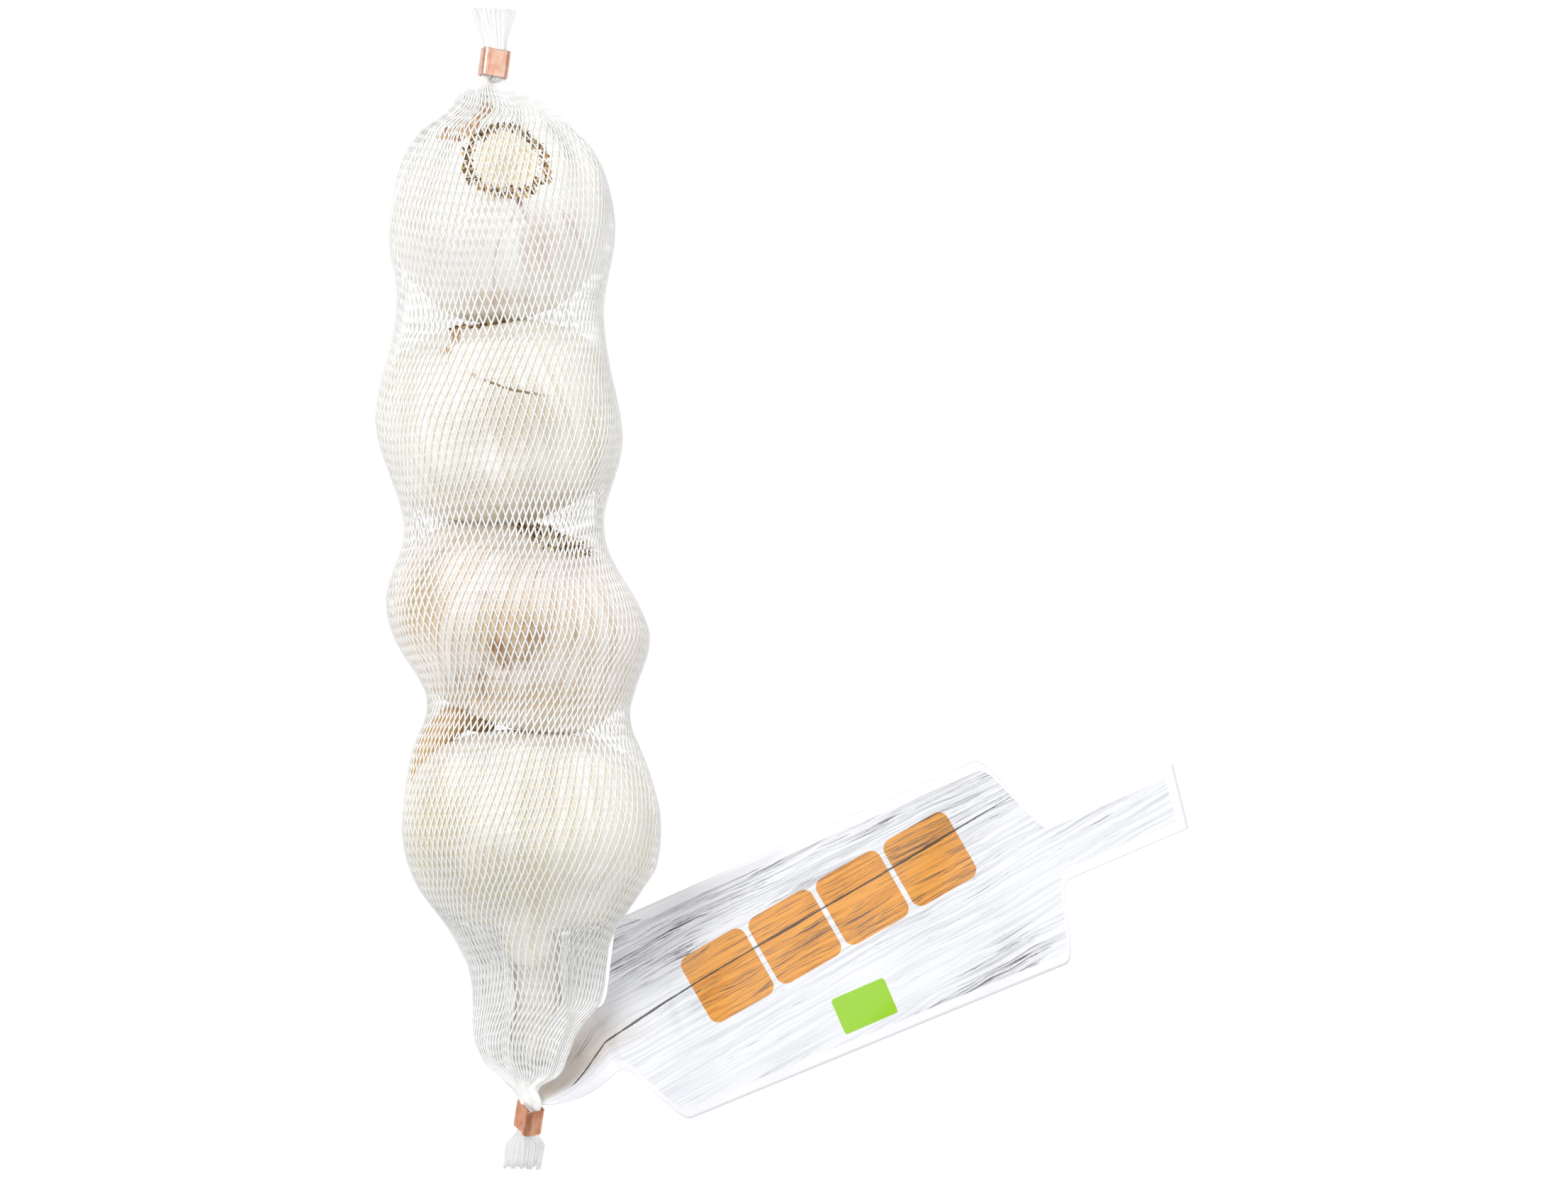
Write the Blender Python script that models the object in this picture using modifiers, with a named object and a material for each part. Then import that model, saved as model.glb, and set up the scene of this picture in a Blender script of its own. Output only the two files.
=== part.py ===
"""Four garlic bulbs in a white net sleeve, closed by a copper clip at each end, with a film label.

The pack lies on its back: +X to the right, +Y towards the top clip, +Z up. The origin is on the
surface it lies on, under the middle of the whole pack. The net is one closed solid over the bulbs,
and it runs on through both clips into a tuft of cut strands at each end.
"""

import math
from typing import NamedTuple

import bmesh
import bpy
from mathutils import Vector

MM = 0.001


class LabelEdge(NamedTuple):
    """One long edge of the label: how far out it runs along each stretch, in millimetres."""

    tail: float
    body_start: float
    body_end: float
    handle: float
    near_shoulder: tuple[float, float]
    far_shoulder: tuple[float, float]


class Bulb(NamedTuple):
    """Where a bulb pushes the net out, in millimetres, and how its cloves ripple it."""

    y: float
    cloves: int
    turn: float


# Clips: a copper strip bent round the net, with its ends lapped on the upper face
CLIP_WIDTH = 6.6 * MM
CLIP_LENGTH = 6.2 * MM
STRIP_THICKNESS = 0.45 * MM
STRIP_LAP = 0.45 * MM
LAP_GAP = 0.12 * MM
STRIP_STEPS = 38
TOP_CLIP_HEIGHT = 3.8 * MM
TOP_CLIP_CENTRE = (-65.3, 118.4, 13.9)
TOP_CLIP_YAW = math.radians(-8)
BOTTOM_CLIP_HEIGHT = 4.2 * MM
BOTTOM_CLIP_CENTRE = (-57.6, -119.4, 5.2)
BOTTOM_CLIP_YAW = math.radians(-9)
BOTTOM_CLIP_PITCH = math.radians(24)
BOTTOM_CLIP_ROLL = math.radians(-12)

# Net: its four edge lines, each through points at (place along Y, place across) in millimetres
TIP = 131.3
LEFT_EDGE = (
    (-TIP, -61.5),
    (-128.9, -62.5),
    (-125.7, -63.6),
    (-122.8, -60.6),
    (-115.9, -59.5),
    (-112.0, -62.7),
    (-106.0, -68.2),
    (-99.9, -70.2),
    (-88.5, -70.5),
    (-77.9, -74.8),
    (-64.5, -84.0),
    (-54.5, -86.3),
    (-37.0, -84.0),
    (-25.9, -79.9),
    (-9.9, -88.0),
    (-2.6, -89.4),
    (13.2, -85.4),
    (38.2, -91.7),
    (64.8, -87.1),
    (80.0, -89.5),
    (92.6, -87.4),
    (102.0, -82.8),
    (108.6, -74.6),
    (113.0, -72.8),
    (115.3, -68.2),
    (121.7, -67.3),
    (126.6, -68.9),
    (TIP, -69.6),
)
RIGHT_EDGE = (
    (-TIP, -54.7),
    (-125.6, -55.1),
    (-122.8, -55.9),
    (-115.9, -54.8),
    (-113.0, -55.6),
    (-110.0, -50.4),
    (-106.0, -48.6),
    (-100.0, -46.3),
    (-93.2, -40.8),
    (-79.9, -39.4),
    (-69.0, -32.9),
    (-61.5, -28.6),
    (-53.5, -28.0),
    (-39.9, -30.9),
    (-28.7, -35.0),
    (-19.9, -32.5),
    (-11.5, -29.9),
    (-3.9, -32.5),
    (8.1, -39.5),
    (14.2, -40.8),
    (33.4, -36.5),
    (52.1, -39.7),
    (62.2, -40.8),
    (81.0, -38.3),
    (95.6, -40.9),
    (107.0, -50.8),
    (112.2, -58.4),
    (115.3, -63.1),
    (121.7, -62.3),
    (126.6, -61.2),
    (TIP, -59.9),
)
UNDERSIDE = (
    (-TIP, 0.3),
    (-126.4, 1.0),
    (-122.8, 3.25),
    (-115.9, 6.3),
    (-112.0, 5.2),
    (-104.6, 2.8),
    (-91.8, 1.4),
    (-75.8, 2.6),
    (-54.0, -0.8),
    (-26.6, 4.6),
    (-7.8, -0.8),
    (14.0, 4.4),
    (36.6, -0.8),
    (63.4, 3.2),
    (80.6, -0.8),
    (99.8, 4.0),
    (107.6, 7.8),
    (112.6, 10.8),
    (115.3, 12.8),
    (121.7, 12.8),
    (126.6, 11.8),
    (TIP, 11.2),
)
CREST = (
    (-TIP, 3.4),
    (-126.4, 4.3),
    (-122.8, 4.85),
    (-115.9, 7.9),
    (-112.0, 9.8),
    (-104.6, 13.4),
    (-91.8, 18.6),
    (-75.8, 34.0),
    (-54.0, 52.6),
    (-26.6, 44.8),
    (-7.8, 52.4),
    (14.0, 44.4),
    (36.6, 50.0),
    (63.4, 42.6),
    (80.6, 46.0),
    (99.8, 36.4),
    (107.6, 26.2),
    (112.6, 18.8),
    (115.3, 15.0),
    (121.7, 15.0),
    (126.6, 15.4),
    (TIP, 15.4),
)
BULBS = (Bulb(80.6, 7, 0.4), Bulb(36.6, 8, 1.3), Bulb(-7.8, 7, 2.2), Bulb(-54.0, 9, 0.0))
CLOVE_RELIEF = 0.014
CLOVE_REACH = 15.0
TOP_NECK = (115.3, 121.7)
BOTTOM_NECK = (-122.8, -115.9)
PLEATS = 11
PLEAT_RELIEF = 0.10
PLEAT_REACH = 6.5
PLEAT_TWIST = 0.09
PLEAT_SINK = 0.6
TUFT_STRANDS = 14
TUFT_RELIEF = 0.17
TUFT_RAGGEDNESS = 1.1
TUFT_SKEW = 0.6
TUFT_RAMP = 4.0
TUFT_HOLLOW = 1.4
RING_POINTS = 56
FINE_STEP = 1.3
COARSE_STEP = 4.4
FINE_REACH = (4.0, 22.0)

# Label: a film board with a handle at each end, its near handle gathered into the bottom clip
LABEL_ORIGIN = Vector((-59.2, -109.9))
LABEL_ANGLE = math.radians(23.3)
LABEL_THICKNESS = 0.5 * MM
LABEL_LENGTH = 161.8
TAIL_LENGTH = 20.0
UPPER_EDGE = LabelEdge(7.1, 23.8, 24.8, 6.3, (23.6, 33.4), (123.3, 130.3))
LOWER_EDGE = LabelEdge(-8.0, -24.2, -25.8, -8.4, (22.5, 29.8), (124.5, 129.4))
CORNER_REACH = 1.7
BODY_SPAN = (30.0, 124.0)
END_SLANT = 0.17
SLANT_SPAN = (149.8, 161.8)
LEAN_SPAN = (16.0, 34.0)
LABEL_REST = 0.55
WAVE_HEIGHT = 0.5
WAVE_LENGTH = 64.0
CREASE_START = (22.2, 0.3)
CREASE_SLOPE = 0.45
LEAN_SLOPE = 0.3
CREASE_ROUNDING = 2.5
LEAN_TOP = 5.6
MOUTH_HEIGHT = 5.5
BORE_HEIGHT = 3.2
BORE_DEPTH = 5.2
GATHER_HALF_WIDTH = 1.2
LOWER_PULL = Vector((-45.6, -117.0))
UPPER_PULL = Vector((-52.0, -105.8))
LIP_HEIGHT = 4.4
TAIL_REST = 0.85
TAIL_ROWS = 9
ROW_STEPS = ((20.0, 34.0, 1.4), (34.0, 120.0, 5.06), (120.0, 134.0, 1.4), (134.0, 161.8, 5.56))
LABEL_COLUMNS = 10

COPPER = (0.78, 0.42, 0.29, 1.0)
NET_WHITE = (0.88, 0.87, 0.82, 1.0)
LABEL_WHITE = (0.90, 0.91, 0.93, 1.0)


def clear_scene():
    for obj in list(bpy.data.objects):
        bpy.data.objects.remove(obj, do_unlink=True)


def make_collection(name):
    made = bpy.data.collections.new(name)
    bpy.context.scene.collection.children.link(made)
    return made


def material(name, colour, roughness, metallic=0.0):
    made = bpy.data.materials.new(name)
    made.use_nodes = True
    shader = made.node_tree.nodes["Principled BSDF"]
    shader.inputs["Base Color"].default_value = colour
    shader.inputs["Roughness"].default_value = roughness
    shader.inputs["Metallic"].default_value = metallic
    return made


def smoothstep(low, high, x):
    t = min(max((x - low) / (high - low), 0.0), 1.0)
    return t * t * (3.0 - 2.0 * t)


def soft_ramp(x, rounding):
    """x where it is well above zero and zero well below it, with a rounded bend between."""
    return 0.5 * (x + math.hypot(x, rounding))


def ramp_area(x):
    """The area under a ramp that is 0 before 0, 1 after 1 and straight between, from its start to x."""
    return 0.5 * min(max(x, 0.0), 1.0) ** 2 + max(x - 1.0, 0.0)


def rounded_ramp(start, end, u):
    """0 before start, 1 after end and straight between, with rounded corners."""
    length = end - start
    area = ramp_area((u + CORNER_REACH - start) / length) - ramp_area((u - CORNER_REACH - start) / length)
    return area * length / (2 * CORNER_REACH)


def monotone_slopes(xs, ys):
    """Slopes of a cubic through the points that turns only where the points do."""
    steps = [(b - a) / (q - p) for a, b, p, q in zip(ys, ys[1:], xs, xs[1:])]
    inner = [2 * a * b / (a + b) if a * b > 0 else 0.0 for a, b in zip(steps, steps[1:])]
    return [steps[0], *inner, steps[-1]]


def smooth_curve(xs, ys):
    """A function through the points, with xs rising."""
    slopes = monotone_slopes(xs, ys)

    def value(x):
        i = next((k for k in range(len(xs) - 2) if x < xs[k + 1]), len(xs) - 2)
        width = xs[i + 1] - xs[i]
        t = (x - xs[i]) / width
        start = (1 + 2 * t) * (1 - t) ** 2 * ys[i] + t * (1 - t) ** 2 * width * slopes[i]
        end = t * t * (3 - 2 * t) * ys[i + 1] + t * t * (t - 1) * width * slopes[i + 1]
        return start + end

    return value


NET_LEFT, NET_RIGHT, NET_LOW, NET_HIGH = (
    smooth_curve([p[0] for p in line], [p[1] for p in line])
    for line in (LEFT_EDGE, RIGHT_EDGE, UNDERSIDE, CREST)
)


def outside(span, y):
    """How far y lies from the span, and zero within it."""
    return max(span[0] - y, y - span[1], 0.0)


def in_tuft(y):
    return y > TOP_NECK[1] or y < BOTTOM_NECK[0]


def relief(y, angle):
    """The share by which cloves, pleats and cut strands move the net's surface out or in."""
    from_clip = min(outside(TOP_NECK, y), outside(BOTTOM_NECK, y))
    if in_tuft(y):
        return TUFT_RELIEF * smoothstep(0.0, TUFT_RAMP, from_clip) * math.cos(TUFT_STRANDS * angle)
    rise = from_clip / PLEAT_REACH
    pleats = PLEAT_RELIEF * rise * math.exp(1.0 - rise)
    total = pleats * (math.cos(PLEATS * angle + PLEAT_TWIST * y) - PLEAT_SINK)
    for bulb in BULBS:
        near = math.exp(-(((y - bulb.y) / CLOVE_REACH) ** 2))
        total += CLOVE_RELIEF * near * math.cos(bulb.cloves * angle + bulb.turn)
    return total


def tuft_tip_shift(y, angle):
    """The uneven cut of the strands, which grows towards the tip of each tuft."""
    if not in_tuft(y):
        return 0.0
    growth = min(outside(TOP_NECK, y), outside(BOTTOM_NECK, y)) / (TIP - TOP_NECK[1])
    uneven = math.cos(TUFT_STRANDS * angle) - TUFT_SKEW * (1.0 + math.sin(3 * angle + 0.7))
    return 0.5 * TUFT_RAGGEDNESS * growth * uneven * math.copysign(1.0, y)


def net_point(y, angle):
    """A point of the net's surface, in metres. It is flat where the pack rests on the surface."""
    left, right, low, high = NET_LEFT(y), NET_RIGHT(y), NET_LOW(y), NET_HIGH(y)
    reach = 1.0 + relief(y, angle)
    x = (left + right) / 2 + (right - left) / 2 * reach * math.cos(angle)
    z = (low + high) / 2 + (high - low) / 2 * reach * math.sin(angle)
    return Vector((x, y + tuft_tip_shift(y, angle), max(z, 0.0))) * MM


def ring_places():
    """The rings' places along the net, close together by the clips and in the tufts."""
    y, places = -TIP, []
    while y < TIP:
        places.append(y)
        from_clip = min(outside(TOP_NECK, y), outside(BOTTOM_NECK, y))
        fine = 1.0 if in_tuft(y) else 1.0 - smoothstep(*FINE_REACH, from_clip)
        y += FINE_STEP * fine + COARSE_STEP * (1.0 - fine)
    if TIP - places[-1] < FINE_STEP / 2:
        places.pop()
    return [*places, TIP]


def new_object(name, mesh, collection, finish):
    obj = bpy.data.objects.new(name, mesh)
    obj.data.materials.append(finish)
    collection.objects.link(obj)
    return obj


def mesh_from(name, bm):
    mesh = bpy.data.meshes.new(name)
    bmesh.ops.recalc_face_normals(bm, faces=bm.faces)
    bm.to_mesh(mesh)
    bm.free()
    mesh.shade_smooth()
    return mesh


def skin_rings(bm, rings):
    """Faces between one closed ring of vertices and the next."""
    for ring, following in zip(rings, rings[1:]):
        for i in range(len(ring)):
            j = (i + 1) % len(ring)
            bm.faces.new((ring[i], ring[j], following[j], following[i]))


def close_end(bm, ring, hollow):
    """Closes a tuft's end with a fan round a vertex that lies a little inside it."""
    centre = sum((v.co for v in ring), Vector()) / len(ring)
    middle = bm.verts.new(centre - Vector((0.0, math.copysign(hollow * MM, centre.y), 0.0)))
    for i in range(len(ring)):
        bm.faces.new((ring[i], ring[(i + 1) % len(ring)], middle))


def add_net(collection):
    bm = bmesh.new()
    angles = [2 * math.pi * i / RING_POINTS for i in range(RING_POINTS)]
    rings = [[bm.verts.new(net_point(y, a)) for a in angles] for y in ring_places()]
    skin_rings(bm, rings)
    close_end(bm, rings[0], TUFT_HOLLOW)
    close_end(bm, rings[-1], TUFT_HOLLOW)
    finish = material("net", NET_WHITE, 0.5)
    return new_object("net_sleeve", mesh_from("net_sleeve", bm), collection, finish)


def strip_line(height):
    """The middle line of a clip's strip: once round a flattened loop, then over its own start."""
    radius = (height - STRIP_THICKNESS) / 2
    straight = CLIP_WIDTH - STRIP_THICKNESS - 2 * radius
    arc = math.pi * radius
    around = 2 * (straight + arc)
    lift = STRIP_THICKNESS + LAP_GAP
    line = []
    for i in range(STRIP_STEPS + 1):
        travelled = (around + STRIP_LAP) * i / STRIP_STEPS
        out = lift * smoothstep(around - arc / 2, around, travelled)
        s = travelled % around
        if s < straight:
            place = (-straight / 2 + s, radius + out)
        elif s < straight + arc:
            turn = math.pi / 2 - (s - straight) / radius
            place = (straight / 2 + (radius + out) * math.cos(turn), (radius + out) * math.sin(turn))
        elif s < 2 * straight + arc:
            place = (straight / 2 - (s - straight - arc), -radius - out)
        else:
            turn = -math.pi / 2 - (s - 2 * straight - arc) / radius
            place = (-straight / 2 + (radius + out) * math.cos(turn), (radius + out) * math.sin(turn))
        line.append(place)
    return line


def add_clip(name, height, centre, turn, collection, finish):
    bm = bmesh.new()
    edges = [
        [bm.verts.new((x, end * CLIP_LENGTH / 2, z)) for x, z in strip_line(height)]
        for end in (-1, 1)
    ]
    for i in range(len(edges[0]) - 1):
        bm.faces.new((edges[0][i], edges[0][i + 1], edges[1][i + 1], edges[1][i]))
    clip = new_object(name, mesh_from(name, bm), collection, finish)
    wall = clip.modifiers.new("wall", "SOLIDIFY")
    wall.thickness = STRIP_THICKNESS
    wall.offset = 0.0
    wall.use_even_offset = True
    clip.location = Vector(centre) * MM
    clip.rotation_mode = "YXZ"
    clip.rotation_euler = turn
    return clip


def label_edge(edge, u):
    """How far the label reaches across at u along it: narrow tail, wide body, narrow handle."""
    along_body = min(max((u - BODY_SPAN[0]) / (BODY_SPAN[1] - BODY_SPAN[0]), 0.0), 1.0)
    body = edge.body_start + (edge.body_end - edge.body_start) * along_body
    near = edge.tail + (body - edge.tail) * rounded_ramp(*edge.near_shoulder, u)
    return near + (edge.handle - near) * rounded_ramp(*edge.far_shoulder, u)


def label_height(u, v):
    """The film's height over the surface: nearly flat, with its near corner leaning on the net."""
    past_crease = v - CREASE_START[1] - CREASE_SLOPE * (u - CREASE_START[0])
    lean = LEAN_SLOPE * soft_ramp(past_crease, CREASE_ROUNDING)
    lean = LEAN_TOP * math.tanh(lean / LEAN_TOP)
    fade = smoothstep(*LEAN_SPAN, u)
    wave = WAVE_HEIGHT * (1.0 - math.cos(2 * math.pi * (u - TAIL_LENGTH) / WAVE_LENGTH)) / 2
    return LABEL_REST + lean * fade + wave


def label_plan(u, v):
    along = Vector((math.cos(LABEL_ANGLE), math.sin(LABEL_ANGLE)))
    across = Vector((-along.y, along.x))
    return LABEL_ORIGIN + along * u + across * v


def label_point(u, side):
    """A point of the label's body. side runs from -1 at its lower edge to 1 at its upper edge."""
    low, high = label_edge(LOWER_EDGE, u), label_edge(UPPER_EDGE, u)
    v = low + (high - low) * (side + 1.0) / 2.0
    slant = END_SLANT * v * smoothstep(*SLANT_SPAN, u)
    plan = label_plan(u + slant, v)
    return Vector((plan.x, plan.y, label_height(u, v)))


def clip_mouth():
    """The middle of the label's gathered end where it enters the bottom clip."""
    x, y, _ = BOTTOM_CLIP_CENTRE
    rise = CLIP_LENGTH / MM / 2
    return Vector((x + rise * math.tan(-BOTTOM_CLIP_YAW), y + rise))


def tail_point(t, side):
    """A point of the film between the clip's mouth, at t = 0, and the body, at t = 1."""
    mouth = clip_mouth()
    reach = Vector((math.cos(BOTTOM_CLIP_YAW), math.sin(BOTTOM_CLIP_YAW))) * GATHER_HALF_WIDTH
    share = (side + 1.0) / 2.0
    start = mouth - reach * side
    end = label_point(TAIL_LENGTH, side)
    pull = LOWER_PULL * (1.0 - share) + UPPER_PULL * share
    plan = start * (1 - t) ** 2 + pull * 2 * t * (1 - t) + Vector((end.x, end.y)) * t * t
    base = MOUTH_HEIGHT + (end.z - MOUTH_HEIGHT) * smoothstep(0.0, TAIL_REST, t)
    lip = LIP_HEIGHT * math.sin(math.pi * t) ** 2 * max(-side, 0.0) ** 2
    return Vector((plan.x, plan.y, base + lip))


def bore_point(depth, side):
    """A point of the film inside the clip, depth millimetres below its mouth."""
    start = tail_point(0.0, side)
    share = depth / BORE_DEPTH
    sideways = depth * math.tan(BOTTOM_CLIP_YAW)
    return Vector((start.x + sideways, start.y - depth, start.z + (BORE_HEIGHT - MOUTH_HEIGHT) * share))


def body_places():
    """The rows' places along the label's body, close together at its shoulders."""
    places = []
    for start, end, step in ROW_STEPS:
        count = round((end - start) / step)
        places += [start + (end - start) * i / count for i in range(count)]
    return [*places, LABEL_LENGTH]


def label_rows():
    """Rows of points along the film, from its end inside the clip to the end of its far handle."""
    sides = [2.0 * j / LABEL_COLUMNS - 1.0 for j in range(LABEL_COLUMNS + 1)]
    rows = [[bore_point(BORE_DEPTH * (1 - i / 2), s) for s in sides] for i in range(2)]
    rows += [[tail_point(i / TAIL_ROWS, s) for s in sides] for i in range(TAIL_ROWS)]
    rows += [[label_point(u, s) for s in sides] for u in body_places()]
    return rows


def add_label(collection):
    bm = bmesh.new()
    rows = [[bm.verts.new(p * MM) for p in row] for row in label_rows()]
    for row, following in zip(rows, rows[1:]):
        for j in range(LABEL_COLUMNS):
            bm.faces.new((row[j], row[j + 1], following[j + 1], following[j]))
    finish = material("label", LABEL_WHITE, 0.25)
    label = new_object("label", mesh_from("label", bm), collection, finish)
    film = label.modifiers.new("film", "SOLIDIFY")
    film.thickness = LABEL_THICKNESS
    film.offset = 0.0
    return label


def main():
    clear_scene()
    pack = make_collection("netted_garlic")
    add_net(pack)
    copper = material("copper", COPPER, 0.3, metallic=1.0)
    top_turn = (0.0, 0.0, TOP_CLIP_YAW)
    bottom_turn = (BOTTOM_CLIP_PITCH, BOTTOM_CLIP_ROLL, BOTTOM_CLIP_YAW)
    add_clip("clip_top", TOP_CLIP_HEIGHT, TOP_CLIP_CENTRE, top_turn, pack, copper)
    add_clip("clip_bottom", BOTTOM_CLIP_HEIGHT, BOTTOM_CLIP_CENTRE, bottom_turn, pack, copper)
    add_label(pack)


main()
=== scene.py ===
"""Looks of the netted garlic pack: open net, four bulbs, copper clips, cut strands and film label.

Lengths are in millimetres until a mesh is made. +X is right, +Y towards the top clip, +Z up.
"""

import math
from typing import NamedTuple

import bpy
import numpy as np
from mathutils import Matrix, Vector
from mathutils.bvhtree import BVHTree

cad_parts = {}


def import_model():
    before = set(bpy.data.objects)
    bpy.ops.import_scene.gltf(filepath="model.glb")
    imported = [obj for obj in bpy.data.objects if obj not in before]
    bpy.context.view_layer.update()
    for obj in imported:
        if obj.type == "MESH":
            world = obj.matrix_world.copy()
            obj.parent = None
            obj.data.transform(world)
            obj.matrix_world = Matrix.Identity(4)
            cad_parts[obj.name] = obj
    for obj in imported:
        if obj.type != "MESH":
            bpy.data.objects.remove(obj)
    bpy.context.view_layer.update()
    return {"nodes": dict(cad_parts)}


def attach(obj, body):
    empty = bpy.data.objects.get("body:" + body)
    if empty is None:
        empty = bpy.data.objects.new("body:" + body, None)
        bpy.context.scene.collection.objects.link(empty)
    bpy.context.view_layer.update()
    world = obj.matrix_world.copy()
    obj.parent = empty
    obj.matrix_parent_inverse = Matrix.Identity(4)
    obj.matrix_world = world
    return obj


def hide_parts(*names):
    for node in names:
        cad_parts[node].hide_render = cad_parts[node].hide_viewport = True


MM = 0.001

# Camera: straight down, with the photograph's frame at this height over the surface
PHOTO_WIDTH = 2212
PHOTO_MIDDLE = (1106.0, 830.5)
MM_PER_PIXEL = 0.16
CAMERA_HEIGHT = 5000.0
SHARP_PLANE = 8.0
SENSOR_WIDTH = 36.0

# Net strands. Of two values, the first is for the outer family and the second for the inner one.
CELLS_AROUND = 96
CELL_LENGTH = 4.85
STEPS_PER_CELL = 4
STRAND_WIDTH = (0.44, 0.39)
STRAND_DEPTH = 0.26
STRAND_OFFSET = (0.10, -0.10)
NET_GLOW = (0.08, 0.06)
NET_SPAN = (-119.5, 118.6)
OPEN_CELL = 1.62
MOST_OPEN = 1.65
OPEN_REACH = 0.32
TWIST_STATIONS = ((-60.0, 0.0), (-34.0, 0.0), (14.0, -0.24), (60.0, -0.24), (100.0, -0.14))
NECK_SQUEEZE = 0.22
NECK_APPROACH = 3.0
NECK_THINNING = (0.35, 0.3)

# Waves in the strands' places and angles: (amount, turns round the sleeve, phase, length along it)
RUN_WAVES = ((2.3, 1, 1.1, 70.0), (0.6, 3, 0.0, 23.0))
ANGLE_WAVES = ((0.10, 0, 0.0, 47.0), (0.05, 2, 0.0, 31.0), (0.012, 9, 0.0, 7.0))

# Net surface
SURFACE_STEP = 0.6
SURFACE_ANGLES = 176
UNDER_STEPS = 600
RING_REACH = 0.02
RING_PLACES = 20
BLUR_AROUND = (0.1, 0.2, 0.4, 0.2, 0.1)
BLUR_REACH = 4
BLUR_WIDTH = 1.8
FLAP_START = (-72.0, -86.0)
FLAP_END = (-106.0, -113.0)
FLAP_SINK = 0.45
FLAP_SIDE = (5.6, 10.6)

# Folds of surplus net
FOLD_SEED = 5
FOLD_STEPS = 24
FOLD_WIDTH = 0.4
FOLD_INSET = (0.35, 0.6)
FOLD_RIPPLE = 0.03
FOLD_JITTER = 0.006
FOLD_DEEP_START = 1.8

# Cut strands beyond each clip
TUFT_STRANDS = 520
TUFT_STRAND_WIDTH = 0.42
TUFT_STRAND_DEPTH = 0.26
TUFT_STEPS = 9
TUFT_CLUMPS = 4.5
TUFT_CURL = 0.10

# Bulbs
BULB_COLUMNS = 200
BODY_ROWS = 96
NECK_ROWS = 26
NET_CLEARANCE = 0.5
NET_PRESS = 0.6
PLATE_RIM = (0.215, 0.25)
MARK_HEIGHT = 14.0
TEAR_HEIGHT = 16.0
ROOT_STEPS = 6
ROOT_SEAT = 0.6
LOW_FRINGE = 0.9
FLAKE_ROWS = 15
FLAKE_COLUMNS = 40
FLAKE_THICKNESS = 0.12

# Clips
CLIP_WIDTH = 6.6
CLIP_LENGTH = 6.2
CLIP_ROWS = 9
CLIP_CORNER = 0.95
CLIP_EDGE = 0.1
STRIP_THICKNESS = 0.45
STRIP_LAP = 0.45
LAP_GAP = 0.12
STRIP_STEPS = 150

# Scales of the brushed grain: one clip's runs across it, the other's along it
ACROSS = (500.0, 9000.0, 500.0)
ALONG = (5000.0, 260.0, 5000.0)


class Clip(NamedTuple):
    """A clip and the net's bundle in it. hand is 1 with the strip's ends lapped at the left corner, or -1."""

    node: str
    height: float
    centre: tuple
    turn: tuple
    hand: int
    neck: tuple
    bundle: tuple
    reach: tuple


TOP_CLIP = Clip(
    node="clip_top",
    height=3.8,
    centre=(-65.3, 118.4, 13.9),
    turn=(math.radians(-9), math.radians(13), math.radians(-7)),
    hand=1,
    neck=(115.3, 121.7),
    bundle=(2.75, 1.36),
    reach=(0.2, 3.2),
)
BOTTOM_CLIP = Clip(
    node="clip_bottom",
    height=4.2,
    centre=(-57.6, -119.4, 5.2),
    turn=(math.radians(27), math.radians(-52), math.radians(-9)),
    hand=-1,
    neck=(-122.8, -115.9),
    bundle=(2.75, 1.56),
    reach=(0.3, 5.5),
)


class LabelEdge(NamedTuple):
    """One long edge of the label: how far out it runs along each stretch."""

    tail: float
    body_start: float
    body_end: float
    handle: float
    near_shoulder: tuple
    far_shoulder: tuple


# Label
LABEL_ORIGIN = np.array((-59.2, -109.9))
LABEL_ANGLE = math.radians(23.3)
LABEL_LENGTH = 161.8
TAIL_LENGTH = 20.0
UPPER_EDGE = LabelEdge(7.1, 23.8, 24.8, 6.3, (23.6, 33.4), (123.3, 130.3))
LOWER_EDGE = LabelEdge(-8.0, -24.2, -25.8, -8.4, (22.5, 29.8), (124.5, 129.4))
BODY_SPAN = (30.0, 124.0)
CORNER_REACH = 1.7
END_SLANT = 0.17
LABEL_REST = 0.55
WAVE_HEIGHT = 0.5
WAVE_LENGTH = 64.0
CREASE_START = (22.2, 0.3)
CREASE_SLOPE = 0.45
LEAN_SLOPE = 0.3
CREASE_ROUNDING = 2.5
LEAN_TOP = 5.6
MOUTH_HEIGHT = 5.5
BORE_HEIGHT = 3.2
BORE_DEPTH = 5.2
GATHER_HALF_WIDTH = 1.1
GATHER_DEPTH = 1.1
LOWER_PULL = np.array((-45.6, -117.0))
UPPER_PULL = np.array((-52.0, -105.8))
LIP_HEIGHT = 4.4
TAIL_REST = 0.85
FILM_THICKNESS = 0.2
FILM_BODY_ROWS = 220
FILM_TAIL_ROWS = 40
FILM_COLUMNS = 64
PRINT_MARGIN = 2.4
BARE_SHOULDER = (30.0, 40.0)
PRINT_TURN = math.radians(6.6)
PRINT_PIVOT = 33.0
FIELD_MIDDLES = (51.6, 69.2, 86.8, 104.4)
FIELD_HEIGHT = 0.1
FIELD_HALF = (8.3, 8.6)
FIELD_CORNER = 2.4
GREEN_MIDDLE = (77.2, -16.4)
GREEN_HALF = (6.6, 4.4)
GREEN_CORNER = 0.6
CRACK_STATIONS = (
    (0.0, -1.0), (10.0, -0.8), (16.0, 0.3), (23.0, 1.0), (35.0, 1.8),
    (48.0, 2.3), (73.0, 2.5), (97.0, 2.6), (128.0, 3.2),
)
CRACK_WIDTH = 0.23
CRACK_RISE = (9.0, 11.0)
CRACK_FALL = (112.0, 131.0)
GRAIN_BEND = 0.6
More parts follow.
